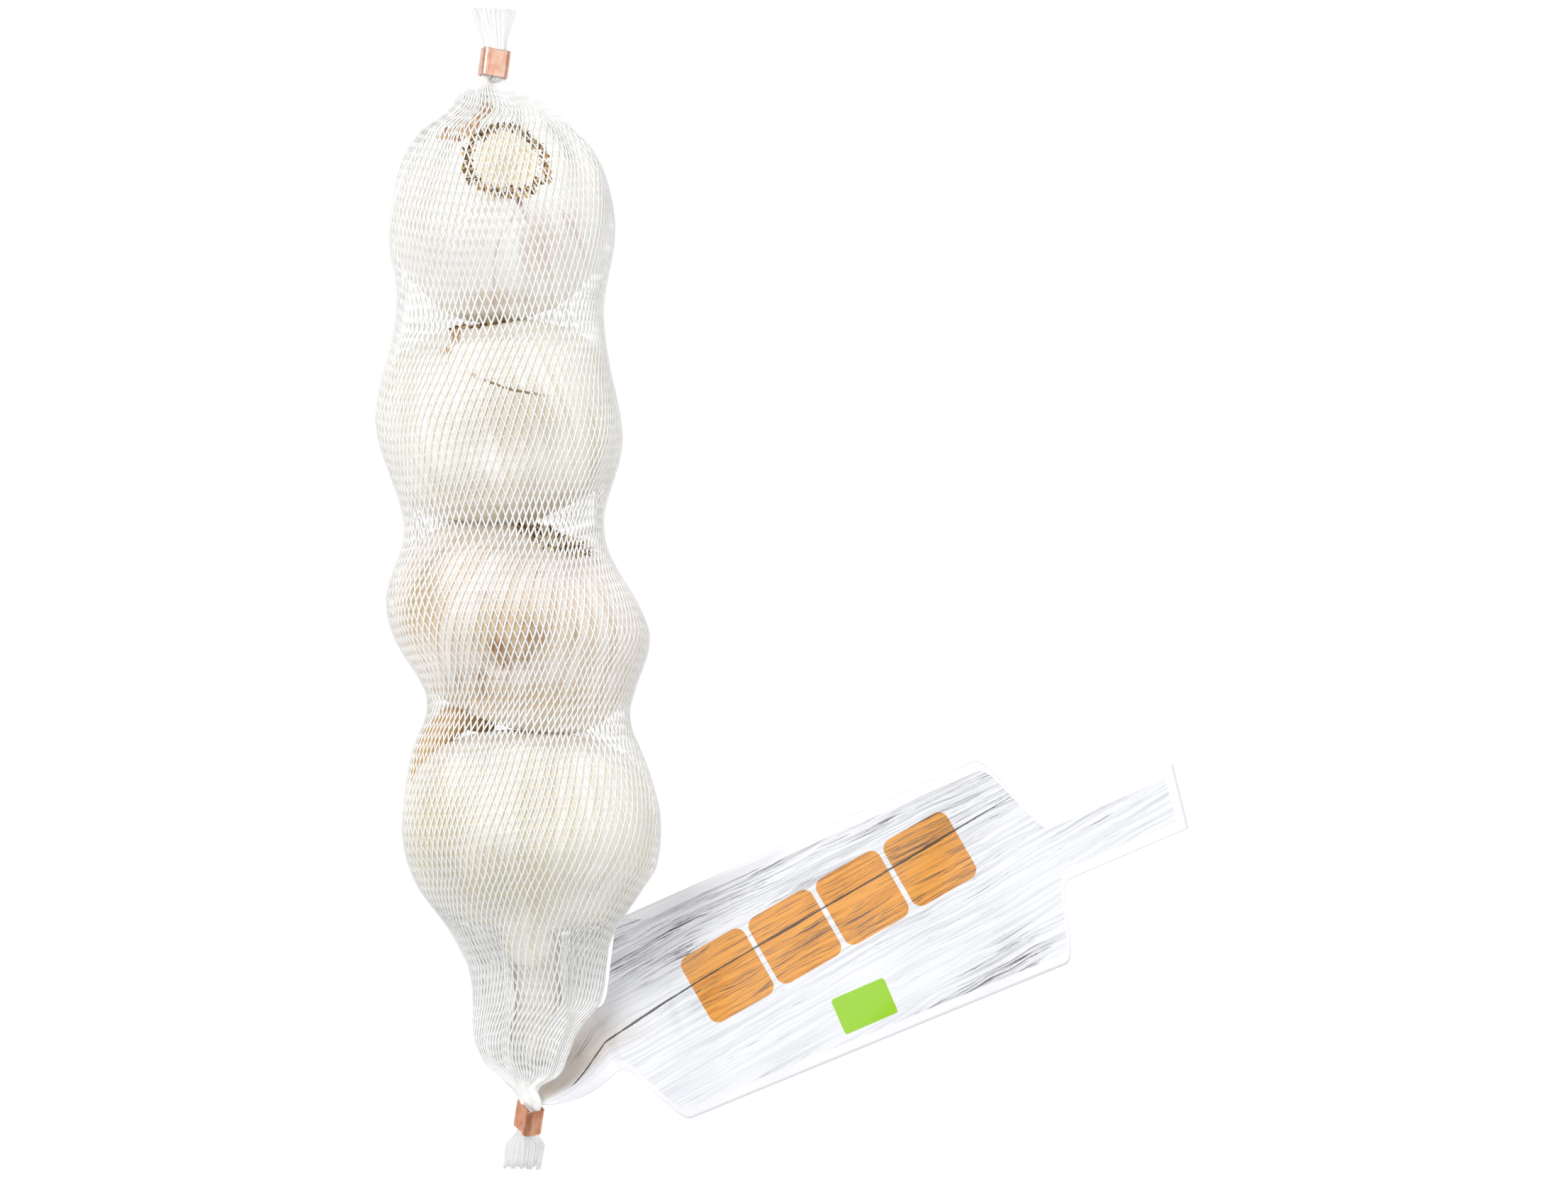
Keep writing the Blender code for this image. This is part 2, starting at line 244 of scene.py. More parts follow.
GRAIN_BENT = (8.0, 22.0)

# The net's shade on the film beside the tail, and how far it fades along and across
SHADE = 0.8
SHADE_FADE = (13.0, 34.0)
SHADE_EDGE = (-5.0, -1.0)

# Heights of the film's fold, nick, two swells and curled edges
FILM_FOLD = 0.35
FILM_NICK = 0.22
FILM_SWELLS = (0.10, 0.07)
EDGE_CURL = 0.18

# Wear along the print's upper edge, across its middle, on the handle and by the tail; by the tail the dark
# grain is partly wear and partly painted shade of the net
UPPER_WEAR = 0.62
MIDDLE_WEAR = 0.34
HANDLE_WEAR = 0.40
TAIL_WEAR_AND_SHADE = 0.55

# Worn spots of the print: (middle u, half length, middle v, half width, slope, strength)
WORN_SPOTS = (
    (110.0, 13.0, -20.0, 4.2, 0.10, 0.95),
    (92.0, 16.0, -22.5, 2.0, 0.0, 0.45),
    (15.0, 6.0, 3.5, 3.0, 0.0, 0.85),
)


def smoothstep(low, high, x):
    t = np.clip((x - low) / (high - low), 0.0, 1.0)
    return t * t * (3.0 - 2.0 * t)


def window(rise, fall, x):
    """1 between two smooth steps, each given by its (low, high), and 0 outside them."""
    return smoothstep(*rise, x) * (1 - smoothstep(*fall, x))


def bell(x, middle, width):
    return np.exp(-(((x - middle) / width) ** 2))


def soft_ramp(x, rounding):
    return 0.5 * (x + np.hypot(x, rounding))


def ramp_area(x):
    return 0.5 * np.clip(x, 0.0, 1.0) ** 2 + np.maximum(x - 1.0, 0.0)


def rounded_ramp(start, end, u):
    """0 before start, 1 after end and straight between, with rounded corners."""
    length = end - start
    after, before = ((u + reach - start) / length for reach in (CORNER_REACH, -CORNER_REACH))
    return (ramp_area(after) - ramp_area(before)) * length / (2 * CORNER_REACH)


def unit(v):
    v = np.asarray(v, float)
    return v / np.linalg.norm(v, axis=-1, keepdims=True)


def wrapped(angle):
    return (angle + math.pi) % (2 * math.pi) - math.pi


def from_photo(px, py):
    """A photograph pixel's place on the pack, in millimetres."""
    return (px - PHOTO_MIDDLE[0]) * MM_PER_PIXEL, (PHOTO_MIDDLE[1] - py) * MM_PER_PIXEL


def spline(points, count):
    """Catmull-Rom curve through the points, with count places along it."""
    p = np.asarray(points, float)
    p = np.vstack([2 * p[0] - p[1], p, 2 * p[-1] - p[-2]])
    t = np.linspace(0, len(points) - 1, count)
    i = np.minimum(t.astype(int), len(points) - 2)
    f = (t - i)[:, None]
    a, b, c, d = p[i], p[i + 1], p[i + 2], p[i + 3]
    curve = 2 * b + (c - a) * f + (2 * a - 5 * b + 4 * c - d) * f**2 + (3 * b - a - 3 * c + d) * f**3
    return 0.5 * curve


# Meshes


def new_mesh(name, vertices, faces, finish, smooth=True):
    """An object from vertices in millimetres and faces."""
    mesh = bpy.data.meshes.new(name)
    mesh.from_pydata((np.asarray(vertices) * MM).tolist(), [], [tuple(f) for f in faces])
    mesh.validate()
    mesh.materials.append(finish)
    if smooth:
        mesh.shade_smooth()
    obj = bpy.data.objects.new(name, mesh)
    bpy.context.scene.collection.objects.link(obj)
    return obj


def add_value(obj, name, values):
    """A number or a vector for each vertex, which the materials read by its name."""
    values = np.asarray(values, np.float32)
    kind, field = ("FLOAT", "value") if values.ndim == 1 else ("FLOAT_VECTOR", "vector")
    made = obj.data.attributes.new(name, kind, "POINT")
    made.data.foreach_set(field, values.ravel())


def grid_faces(rows, columns, closed):
    """Quads between rows of vertices, each row closed into a ring or open."""
    last = columns if closed else columns - 1
    r, c = np.meshgrid(np.arange(rows - 1), np.arange(last), indexing="ij")
    here, beside = r * columns + c, r * columns + (c + 1) % columns
    return np.stack([here, beside, beside + columns, here + columns], -1).reshape(-1, 4)


def tubes(paths, normals, half_width, half_depth):
    """Vertices and faces of four-sided tubes. paths and normals are (tubes, places, 3)."""
    count, places = paths.shape[:2]
    tangent = unit(np.gradient(paths, axis=1))
    side = unit(np.cross(tangent, normals))
    up = np.cross(side, tangent)
    half_width = np.broadcast_to(np.asarray(half_width, float), (count, places))[..., None]
    half_depth = np.broadcast_to(np.asarray(half_depth, float), (count, places))[..., None]
    corners = [side * half_width, up * half_depth, -side * half_width, -up * half_depth]
    vertices = np.stack([paths + c for c in corners], 2)
    one = grid_faces(places, 4, True)
    caps = np.array([[3, 2, 1, 0], [0, 1, 2, 3]]) + np.array([[0], [4 * (places - 1)]])
    one = np.vstack([one[:, ::-1], caps[:, ::-1]])
    starts = np.arange(count)[:, None, None] * places * 4
    return vertices.reshape(-1, 3), (one[None] + starts).reshape(-1, 4)


# Materials


class Nodes:
    """A material's node tree, with short calls for the nodes that the finishes use."""

    def __init__(self, name):
        self.material = bpy.data.materials.new(name)
        self.material.use_nodes = True
        self.tree = self.material.node_tree
        self.shader = self.tree.nodes["Principled BSDF"]

    def put(self, socket, value):
        if isinstance(value, bpy.types.NodeSocket):
            self.tree.links.new(value, socket)
        else:
            socket.default_value = value

    def node(self, kind, **inputs):
        made = self.tree.nodes.new(kind)
        for name, value in inputs.items():
            self.put(made.inputs[name.replace("_", " ")], value)
        return made

    def value(self, name, output="Fac"):
        made = self.tree.nodes.new("ShaderNodeAttribute")
        made.attribute_name = name
        return made.outputs[output]

    def places(self):
        return self.tree.nodes.new("ShaderNodeTexCoord").outputs["Object"]

    def scaled(self, vector, scale):
        return self.node("ShaderNodeMapping", Vector=vector, Scale=scale).outputs["Vector"]

    def noise(self, vector, scale, detail=2.0, rough=0.5, distortion=0.0):
        shape = {"Scale": scale, "Detail": detail, "Roughness": rough, "Distortion": distortion}
        return self.node("ShaderNodeTexNoise", Vector=vector, **shape).outputs["Fac"]

    def math(self, operation, first, second=0.5):
        made = self.tree.nodes.new("ShaderNodeMath")
        made.operation = operation
        self.put(made.inputs[0], first)
        self.put(made.inputs[1], second)
        return made.outputs[0]

    def plus(self, first, second):
        return self.math("ADD", first, second)

    def times(self, first, second):
        return self.math("MULTIPLY", first, second)

    def spread(self, noise, amount):
        """A noise moved to lie evenly about 0, times amount."""
        return self.times(self.math("SUBTRACT", noise), amount)

    def step(self, value, low, high, start=0.0, end=1.0):
        """A smooth step of value from low to high, giving start to end."""
        made = self.tree.nodes.new("ShaderNodeMapRange")
        made.interpolation_type = "SMOOTHSTEP"
        for name, number in (("From Min", low), ("From Max", high), ("To Min", start), ("To Max", end)):
            self.put(made.inputs[name], number)
        self.put(made.inputs["Value"], value)
        return made.outputs["Result"]

    def mix(self, share, first, second):
        made = self.tree.nodes.new("ShaderNodeMix")
        made.data_type = "RGBA"
        self.put(made.inputs["Factor"], share)
        self.put(made.inputs["A"], first)
        self.put(made.inputs["B"], second)
        return made.outputs["Result"]

    def bump(self, height, distance, strength=1.0):
        made = self.node("ShaderNodeBump", Height=height, Strength=strength, Distance=distance * MM)
        self.tree.links.new(made.outputs["Normal"], self.shader.inputs["Normal"])

    def finish(self, **inputs):
        for name, value in inputs.items():
            self.put(self.shader.inputs[name.replace("_", " ")], value)
        return self.material


def rgb(red, green, blue):
    """A colour as the picture shows it, from 0 to 255, for a shader's socket."""
    linear = [((c / 255 + 0.055) / 1.055) ** 2.4 if c > 10.3 else c / 255 / 12.92 for c in (red, green, blue)]
    return (*linear, 1.0)


WHITE = (1.0, 1.0, 1.0, 1.0)


def net_finish(name, glow, dark=rgb(240, 240, 239), light=rgb(250, 250, 249)):
    """White translucent strands. glow stands for the light that comes through them."""
    n = Nodes(name)
    colour = n.mix(n.step(n.noise(n.places(), 90.0), 0.3, 0.7), dark, light)
    n.bump(n.noise(n.places(), 2500.0), 0.05, 0.4)
    plastic = {"Roughness": 0.38, "Specular_IOR_Level": 0.4}
    return n.finish(Base_Color=colour, Emission_Color=WHITE, Emission_Strength=glow, **plastic)


def skin_finish(name, light, dark, blush_and_shade, stain, neck, crease):
    """Garlic skin: papery veins along the bulb, tinted clouds that are partly painted shade low on the bulbs,
    broken stains, root plate, dry neck.
    """
    n = Nodes(name)
    grain = n.value("grain", "Vector")
    veins = n.noise(n.scaled(grain, (9.0, 9.0, 1.2)), 1.0, 4.0, 0.55, 0.3)
    fine = n.noise(n.scaled(grain, (34.0, 34.0, 2.4)), 1.0, 4.0, 0.65, 0.2)
    cloud = n.noise(n.places(), 150.0, 4.0, 0.62)
    colour = n.mix(n.step(veins, 0.3, 0.72), light, dark)
    # Tinted clouds: pink and tan tints, and painted shade where the spots lie low on a bulb or at its side
    tint_and_shade = n.plus(n.value("blush_and_shade"), n.spread(veins, 1.1))
    colour = n.mix(n.step(tint_and_shade, 0.15, 1.05), colour, blush_and_shade)
    broken = n.plus(n.math("SUBTRACT", cloud), n.spread(fine, 0.8))
    spotted = n.plus(n.value("stain"), n.times(broken, 1.3))
    spotted = n.times(n.step(spotted, 0.38, 0.95), n.step(n.value("stain"), 0.03, 0.2))
    colour = n.mix(spotted, colour, stain)
    dry = n.plus(n.value("dry"), n.spread(fine, 0.7))
    colour = n.mix(n.step(dry, 0.3, 0.8), colour, neck)
    fibres = n.noise(n.places(), 900.0, 3.0, 0.6)
    plate = n.mix(n.step(fibres, 0.36, 0.58), rgb(236, 220, 184), rgb(250, 245, 229))
    colour = n.mix(n.value("plate"), colour, plate)
    tear = n.step(n.math("ABSOLUTE", n.value("tear")), 0.16, 0.46, 1.0, 0.0)
    colour = n.mix(n.times(tear, n.value("tear_depth")), colour, crease)
    n.bump(n.plus(n.times(veins, 0.7), n.times(fine, 0.3)), 0.25, 0.5)
    rough = n.step(fine, 0.3, 0.7, 0.36, 0.56)
    return n.finish(Base_Color=colour, Roughness=rough, Specular_IOR_Level=0.4)


def paper_finish():
    """A loose scrap of dry skin: tan, browner towards its torn rim."""
    n = Nodes("paper_scrap")
    cloud = n.noise(n.places(), 420.0, 4.0, 0.65)
    fleck = n.noise(n.places(), 1100.0, 4.0, 0.7)
    dry = n.plus(n.spread(n.value("rim"), 0.16), n.plus(cloud, n.spread(fleck, 0.6)))
    colour = n.mix(n.step(dry, 0.34, 0.66), rgb(238, 214, 178), rgb(172, 124, 80))
    n.bump(n.noise(n.places(), 1800.0, 3.0), 0.12, 0.5)
    return n.finish(Base_Color=colour, Roughness=0.55)


def root_finish(name, light, dark, edge):
    """Dry root stubs, each of its own tone between golden and dark."""
    n = Nodes(name)
    grain = n.noise(n.places(), 1500.0, 3.0, 0.6)
    tone = n.plus(n.value("tone"), n.spread(grain, 0.8))
    n.bump(grain, 0.1, 0.6)
    return n.finish(Base_Color=n.mix(n.step(tone, *edge), dark, light), Roughness=0.75)


def copper_finish(name, dark, light, rough, brush):
    """Brushed copper with clouds from dark to light. rough is (low, high), and brush is its grain's scale."""
    n = Nodes(name)
    scratch = n.noise(n.scaled(n.places(), brush), 1.0, 4.0, 0.65)
    cloud = n.noise(n.places(), 420.0, 3.0)
    colour = n.mix(n.step(cloud, 0.3, 0.7), dark, light)
    colour = n.mix(n.step(scratch, 0.5, 0.7, 0.0, 0.35), colour, rgb(244, 224, 206))
    n.bump(scratch, 0.02, 0.6)
    return n.finish(Base_Color=colour, Metallic=1.0, Roughness=n.step(scratch, 0.3, 0.7, *rough))


def label_finish():
    """White film with a rubbed wood-grain print, darkened by painted shade of the net by the tail, four
    orange fields and a green one.
    """
    n = Nodes("label_film")
    place = n.value("print", "Vector")
    apart = n.node("ShaderNodeSeparateXYZ", Vector=place).outputs
    wobble = n.noise(n.scaled(place, (0.05, 0.22, 0.0)), 1.0, 2.0)
    bent = n.node("ShaderNodeCombineXYZ", X=apart["X"], Y=n.plus(apart["Y"], n.times(wobble, 2.6)))
    bent = bent.outputs["Vector"]
    long_grain = n.noise(n.scaled(bent, (0.03, 1.3, 0.0)), 1.0, 3.0, 0.6)
    fine_grain = n.noise(n.scaled(bent, (0.075, 3.4, 0.0)), 1.0, 5.0, 0.7)
    bands = n.noise(n.scaled(bent, (0.016, 0.5, 0.0)), 1.0, 3.0)
    patches = n.noise(n.scaled(place, (0.05, 0.16, 0.0)), 1.0, 3.0)
    worn_and_shaded = n.plus(n.spread(patches, 1.1), n.value("worn_and_shaded"))
    crowd = n.times(n.step(worn_and_shaded, 0.0, 0.85), n.step(bands, 0.38, 0.6, 0.35, 1.0))
    # Greyer where the grain is rubbed; by the tail this grey is partly painted shade of the net
    dusk = n.times(n.step(long_grain, 0.42, 0.62), n.step(worn_and_shaded, -0.3, 0.8, 0.3, 1.0))
    pale = n.mix(dusk, rgb(241, 242, 247), rgb(203, 205, 210))
    pale = n.mix(n.value("shade"), pale, rgb(192, 178, 163))
    wood = n.mix(n.step(long_grain, 0.4, 0.65), rgb(238, 164, 66), rgb(216, 140, 48))
    orange = n.step(n.value("orange"), 0.0, 0.18)
    colour = n.mix(orange, pale, wood)
    raised = n.plus(n.plus(fine_grain, n.times(crowd, 0.12)), n.times(orange, 0.06))
    streak = n.times(n.step(raised, 0.62, 0.68), n.step(bands, 0.3, 0.6, 0.5, 0.9))
    colour = n.mix(streak, colour, rgb(72, 68, 68))
    from_crack = n.math("ABSOLUTE", n.plus(n.value("crack"), n.spread(fine_grain, 0.5)))
    crack_width = n.times(n.value("crack_width"), n.step(patches, 0.3, 0.7, 0.5, 1.4))
    crack = n.math("LESS_THAN", from_crack, crack_width)
    colour = n.mix(n.times(crack, 0.9), colour, rgb(34, 30, 30))
    colour = n.mix(n.step(n.value("green"), 0.0, 0.18), colour, rgb(150, 208, 0))
    printed = n.step(n.value("margin"), PRINT_MARGIN, PRINT_MARGIN + 0.15)
    colour = n.mix(printed, rgb(243, 243, 248), colour)
    gloss = {"Roughness": 0.26, "Specular_IOR_Level": 0.4, "Coat_Weight": 0.2, "Coat_Roughness": 0.08}
    return n.finish(Base_Color=colour, **gloss)


def floor_finish():
    n = Nodes("floor_white")
    grain = n.noise(n.places(), 40.0, 2.0)
    colour = n.mix(n.step(grain, 0.3, 0.7), (0.15, 0.15, 0.15, 1.0), (0.16, 0.16, 0.16, 1.0))
    matt = {"Roughness": 0.9, "Specular_IOR_Level": 0.0}
    return n.finish(Base_Color=colour, Emission_Color=WHITE, Emission_Strength=0.93, **matt)


# Net


class NetSurface:
    """The net sleeve's surface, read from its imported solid: a radius for each place and angle."""

    def __init__(self, node):
        mesh = node.data
        co = np.zeros(len(mesh.vertices) * 3)
        mesh.vertices.foreach_get("co", co)
        co = co.reshape(-1, 3) / MM
        polygons = [tuple(p.vertices) for p in mesh.polygons]
        tree = BVHTree.FromPolygons(co.tolist(), polygons)
        inside = (co[:, 1] > BOTTOM_CLIP.neck[0] - 0.1) & (co[:, 1] < TOP_CLIP.neck[1] + 0.1)
        rings = [(y, co[np.abs(co[:, 1] - y) < RING_REACH]) for y in np.unique(co[inside, 1].round(2))]
        rings = [(y, ring) for y, ring in rings if len(np.unique(ring.round(3), axis=0)) > RING_PLACES]
        ring_y, rings = zip(*rings)
        middle = np.array([[(r[:, k].min() + r[:, k].max()) / 2 for k in (0, 2)] for r in rings])
        self.y = np.arange(ring_y[0], ring_y[-1], SURFACE_STEP)
        self.x_mid = np.interp(self.y, ring_y, middle[:, 0])
        self.z_mid = np.interp(self.y, ring_y, middle[:, 1])
        self.angles = np.arange(SURFACE_ANGLES) * 2 * math.pi / SURFACE_ANGLES
        radius = np.zeros((len(self.y), SURFACE_ANGLES))
        for i, y in enumerate(self.y):
            start = (self.x_mid[i], y, self.z_mid[i])
            for j, a in enumerate(self.angles):
                hit = tree.ray_cast(start, (math.cos(a), 0.0, math.sin(a)))
                radius[i, j] = hit[3] if hit[3] is not None else radius[i, j - 1]
        self.radius = self.gathered(self.with_flaps(self.smoothed(radius)))
        self.strand_angles = np.array([self.spread(row) for row in self.radius])
        rise = np.diff(self.radius, axis=0)
        step = np.sqrt(SURFACE_STEP**2 + (rise**2).mean(axis=1))
        self.run = np.concatenate([[0.0], np.cumsum(step)])

    @staticmethod
    def smoothed(radius):
        """The solid's facets rounded off."""
        radius = sum(w * np.roll(radius, k - 2, axis=1) for k, w in enumerate(BLUR_AROUND))
        along = np.exp(-0.5 * (np.arange(-BLUR_REACH, BLUR_REACH + 1) / BLUR_WIDTH) ** 2)
        along /= along.sum()
        padded = np.pad(radius, ((BLUR_REACH, BLUR_REACH), (0, 0)), mode="edge")
        return sum(w * padded[k : k + len(radius)] for k, w in enumerate(along))

    def with_flaps(self, radius):
        """The surface sunk beside the last bulb's neck, where the net is slack."""
        neck = np.array(BULBS[-1].neck)[::-1]
        neck_x = np.interp(self.y, neck[:, 1], neck[:, 0])[:, None]
        along = window(FLAP_START, FLAP_END, self.y)[:, None]
        x = self.x_mid[:, None] + radius * np.cos(self.angles)
        aside = smoothstep(*FLAP_SIDE, np.abs(x - neck_x))
        return radius * (1 - FLAP_SINK * along * aside * np.maximum(np.sin(self.angles), 0.0))

    def gathered(self, radius):
        """The surface drawn in to a bundle where it runs through a clip, turned as the clip is."""
        for clip in (TOP_CLIP, BOTTOM_CLIP):
            from_clip = np.maximum(clip.neck[0] - self.y, self.y - clip.neck[1])
            share = 1 - smoothstep(*clip.reach, from_clip)[:, None]
            rolled = self.angles + clip.turn[1]
            across, high = np.cos(rolled) / clip.bundle[0], np.sin(rolled) / clip.bundle[1]
            bundle = (across**4 + high**4) ** -0.25
            radius = radius * (1 - share) + bundle * share
        return radius

    def spread(self, radius):
        """The angle of each even share of strands round one row, open on top and crowded underneath."""
        turn = np.linspace(0, 2 * math.pi, SURFACE_ANGLES + 1) + math.pi / 2
        r = np.interp(turn % (2 * math.pi), np.append(self.angles, 2 * math.pi), np.append(radius, radius[0]))
        points = np.stack([r * np.cos(turn), r * np.sin(turn)], -1)
        run = np.concatenate([[0.0], np.cumsum(np.linalg.norm(np.diff(points, axis=0), axis=1))])
        opened = np.clip(OPEN_CELL * CELLS_AROUND / run[-1], 1.0, MOST_OPEN)
        fall = 1 - math.exp(-1 / OPEN_REACH)
        rest = (1 - opened * OPEN_REACH * fall) / (1 - OPEN_REACH * fall)
        half = np.linspace(0, 1, SURFACE_ANGLES // 2 + 1)
        share = rest * half + (opened - rest) * OPEN_REACH * (1 - np.exp(-half / OPEN_REACH))
        share = np.concatenate([share / 2, 1 - share[-2::-1] / 2])
        return np.interp(share * run[-1], run, turn)

    def between_rows(self, table, y, column, beside, share):
        """A table's value at y and at a share of the way from one column to the one beside it."""
        row = np.clip((y - self.y[0]) / SURFACE_STEP, 0, len(self.y) - 1.001)
        i = row.astype(int)
        near = table[i, column] * (1 - share) + table[i, beside] * share
        far = table[i + 1, column] * (1 - share) + table[i + 1, beside] * share
        return near * (1 - row + i) + far * (row - i)

    def strand_angle(self, y, lattice):
        """The angle on the surface of a strand at its place in the net's even lattice."""
        turns = lattice / (2 * math.pi)
        place = (turns - np.floor(turns)) * SURFACE_ANGLES
        column = np.minimum(place.astype(int), SURFACE_ANGLES - 1)
        return self.between_rows(self.strand_angles, y, column, column + 1, place - column)

    def radius_at(self, y, angle):
        place = (angle / (2 * math.pi) * SURFACE_ANGLES) % SURFACE_ANGLES
        column = place.astype(int) % SURFACE_ANGLES
        beside = (column + 1) % SURFACE_ANGLES
        return self.between_rows(self.radius, y, column, beside, place - np.floor(place))

    def middle_at(self, y):
        return np.interp(y, self.y, self.x_mid), np.interp(y, self.y, self.z_mid)

    def point(self, y, angle, inset=0.0):
        x_mid, z_mid = self.middle_at(y)
        r = self.radius_at(y, angle) - inset
        return np.stack([x_mid + r * np.cos(angle), y, z_mid + r * np.sin(angle)], -1)

    def normal(self, y, angle):
        along = self.point(y + SURFACE_STEP, angle) - self.point(y - SURFACE_STEP, angle)
        around = self.point(y, angle + 0.02) - self.point(y, angle - 0.02)
        return unit(np.cross(along, around))

    def under_top(self, x, y, inset):
        """The points under the net's upper side that lie nearest to x at each y."""
        angle = np.repeat(np.linspace(0.0, math.pi, UNDER_STEPS)[None], len(x), 0)
        points = self.point(np.repeat(y[:, None], UNDER_STEPS, 1), angle, inset)
        nearest = np.abs(points[..., 0] - x[:, None]).argmin(1)
        return points[np.arange(len(x)), nearest]

    def pressed_inside(self, points):
        """The points, with those that would reach the net eased back under it."""
        y = points[:, 1]
        x_mid, z_mid = self.middle_at(y)
        dx, dz = points[:, 0] - x_mid, points[:, 2] - z_mid
        r, angle = np.hypot(dx, dz), np.arctan2(dz, dx)
        room = self.radius_at(y, angle) - NET_CLEARANCE - r
        share = (r + room - soft_ramp(room, NET_PRESS)) / np.maximum(r, 1e-6)
        return np.stack([x_mid + dx * share, y, z_mid + dz * share], -1)


def waves(table, lattice, run):
    return sum(high * np.sin(turns * lattice + phase + run / length) for high, turns, phase, length in table)


def add_net_piece(name, vertices, faces, finish):
    piece = new_mesh(name, vertices, faces, finish)
    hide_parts("net_sleeve")
    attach(piece, "root")


def add_strands(name, surface, direction, layer, finish):
    """One family of strands, wound round the sleeve in the given direction. layer is 0 for the outer one."""
    start, end = (np.interp(y, surface.y, surface.run) for y in NET_SPAN)
    cells = (end - start) / CELL_LENGTH
    step = np.arange(0, int(cells * STEPS_PER_CELL)) / STEPS_PER_CELL
    strand = np.arange(CELLS_AROUND)[:, None]
    lattice = 2 * math.pi * (strand + direction * step[None]) / CELLS_AROUND
    run = start + step[None] * CELL_LENGTH
    run = run + waves(RUN_WAVES, lattice, run)
    angle = lattice + waves(ANGLE_WAVES, lattice, run)
    y = np.interp(np.clip(run, start, end), surface.run, surface.y)
    angle = surface.strand_angle(y, angle + np.interp(y, *zip(*TWIST_STATIONS)))
    normal = surface.normal(y, angle)
    low, high = BOTTOM_CLIP.neck[1], TOP_CLIP.neck[0]
    in_neck = 1 - window((low, low + NECK_APPROACH), (high - NECK_APPROACH, high), y)
    paths = surface.point(y, angle, NECK_SQUEEZE * in_neck) + normal * STRAND_OFFSET[layer]
    width, depth = (1 - thinning * in_neck for thinning in NECK_THINNING)
    mesh = tubes(paths, normal, STRAND_WIDTH[layer] / 2 * width, STRAND_DEPTH / 2 * depth)
    add_net_piece(name, *mesh, finish)


class Fold(NamedTuple):
    """Surplus net tucked under the sleeve: where its strands start, their angles and their number."""

    start: tuple
    angles: tuple
    count: int


TOP_FOLDS = (
    Fold((100.0, 108.0), (0.0, 6.28), 200),
    Fold((88.0, 100.0), (-0.4, 0.9), 80),
    Fold((97.0, 106.0), (2.2, 3.4), 60),
)
BOTTOM_FOLDS = (
    Fold((-86.0, -74.0), (-0.5, 0.9), 120),
    Fold((-84.0, -72.0), (2.16, 3.7), 140),
    Fold((-109.0, -106.0), (0.0, 6.28), 130),
)


def add_folds(name, folds, end, surface, finish):
    rng = np.random.default_rng(FOLD_SEED)
    t = np.linspace(0, 1, FOLD_STEPS)[None]
    paths, normals = [], []
    for fold in folds:
        start = rng.uniform(*fold.start, fold.count)[:, None]
        angle = np.linspace(*fold.angles, fold.count)[:, None]
        angle = angle + rng.normal(0, FOLD_JITTER, fold.count)[:, None]
        y = start + (end - start) * t
        angle = angle + FOLD_RIPPLE * np.sin(y / 4 + 5 * angle)
        swell = (0.5 + 0.5 * np.sin(6 * angle + y / 7)) * np.sin(t * 2.4)
        inset = FOLD_INSET[0] + FOLD_INSET[1] * swell + FOLD_DEEP_START * (1 - smoothstep(0.0, 0.3, t))
        paths.append(surface.point(y, angle, inset))
        normals.append(surface.normal(y, angle))
    paths, normals = np.concatenate(paths), np.concatenate(normals)
    width = FOLD_WIDTH / 2 * smoothstep(-0.1, 0.2, t)
    add_net_piece(name, *tubes(paths, normals, width, STRAND_DEPTH / 2), finish)


class Tuft(NamedTuple):
    """Cut strands beyond a clip. mouth and tip are (centre, half width, half depth)."""

    name: str
    roll: float
    mouth: tuple
    tip: tuple
    fan: tuple
    seed: int


TOP_TUFT = Tuft(
    name="net_tuft_top",
    roll=TOP_CLIP.turn[1],
    mouth=((-65.0, 120.5, 13.9), 2.4, 1.0),
    tip=((-65.4, 131.7, 13.4), 5.3, 2.0),
    fan=(0.12, 1.0),
    seed=7,
)
BOTTOM_TUFT = Tuft(
    name="net_tuft_bottom",
    roll=BOTTOM_CLIP.turn[1],
    mouth=((-57.9, -120.8, 4.6), 2.4, 1.25),
    tip=((-59.4, -131.7, 1.95), 4.4, 1.5),
    fan=(0.1, 0.5),
    seed=9,
)


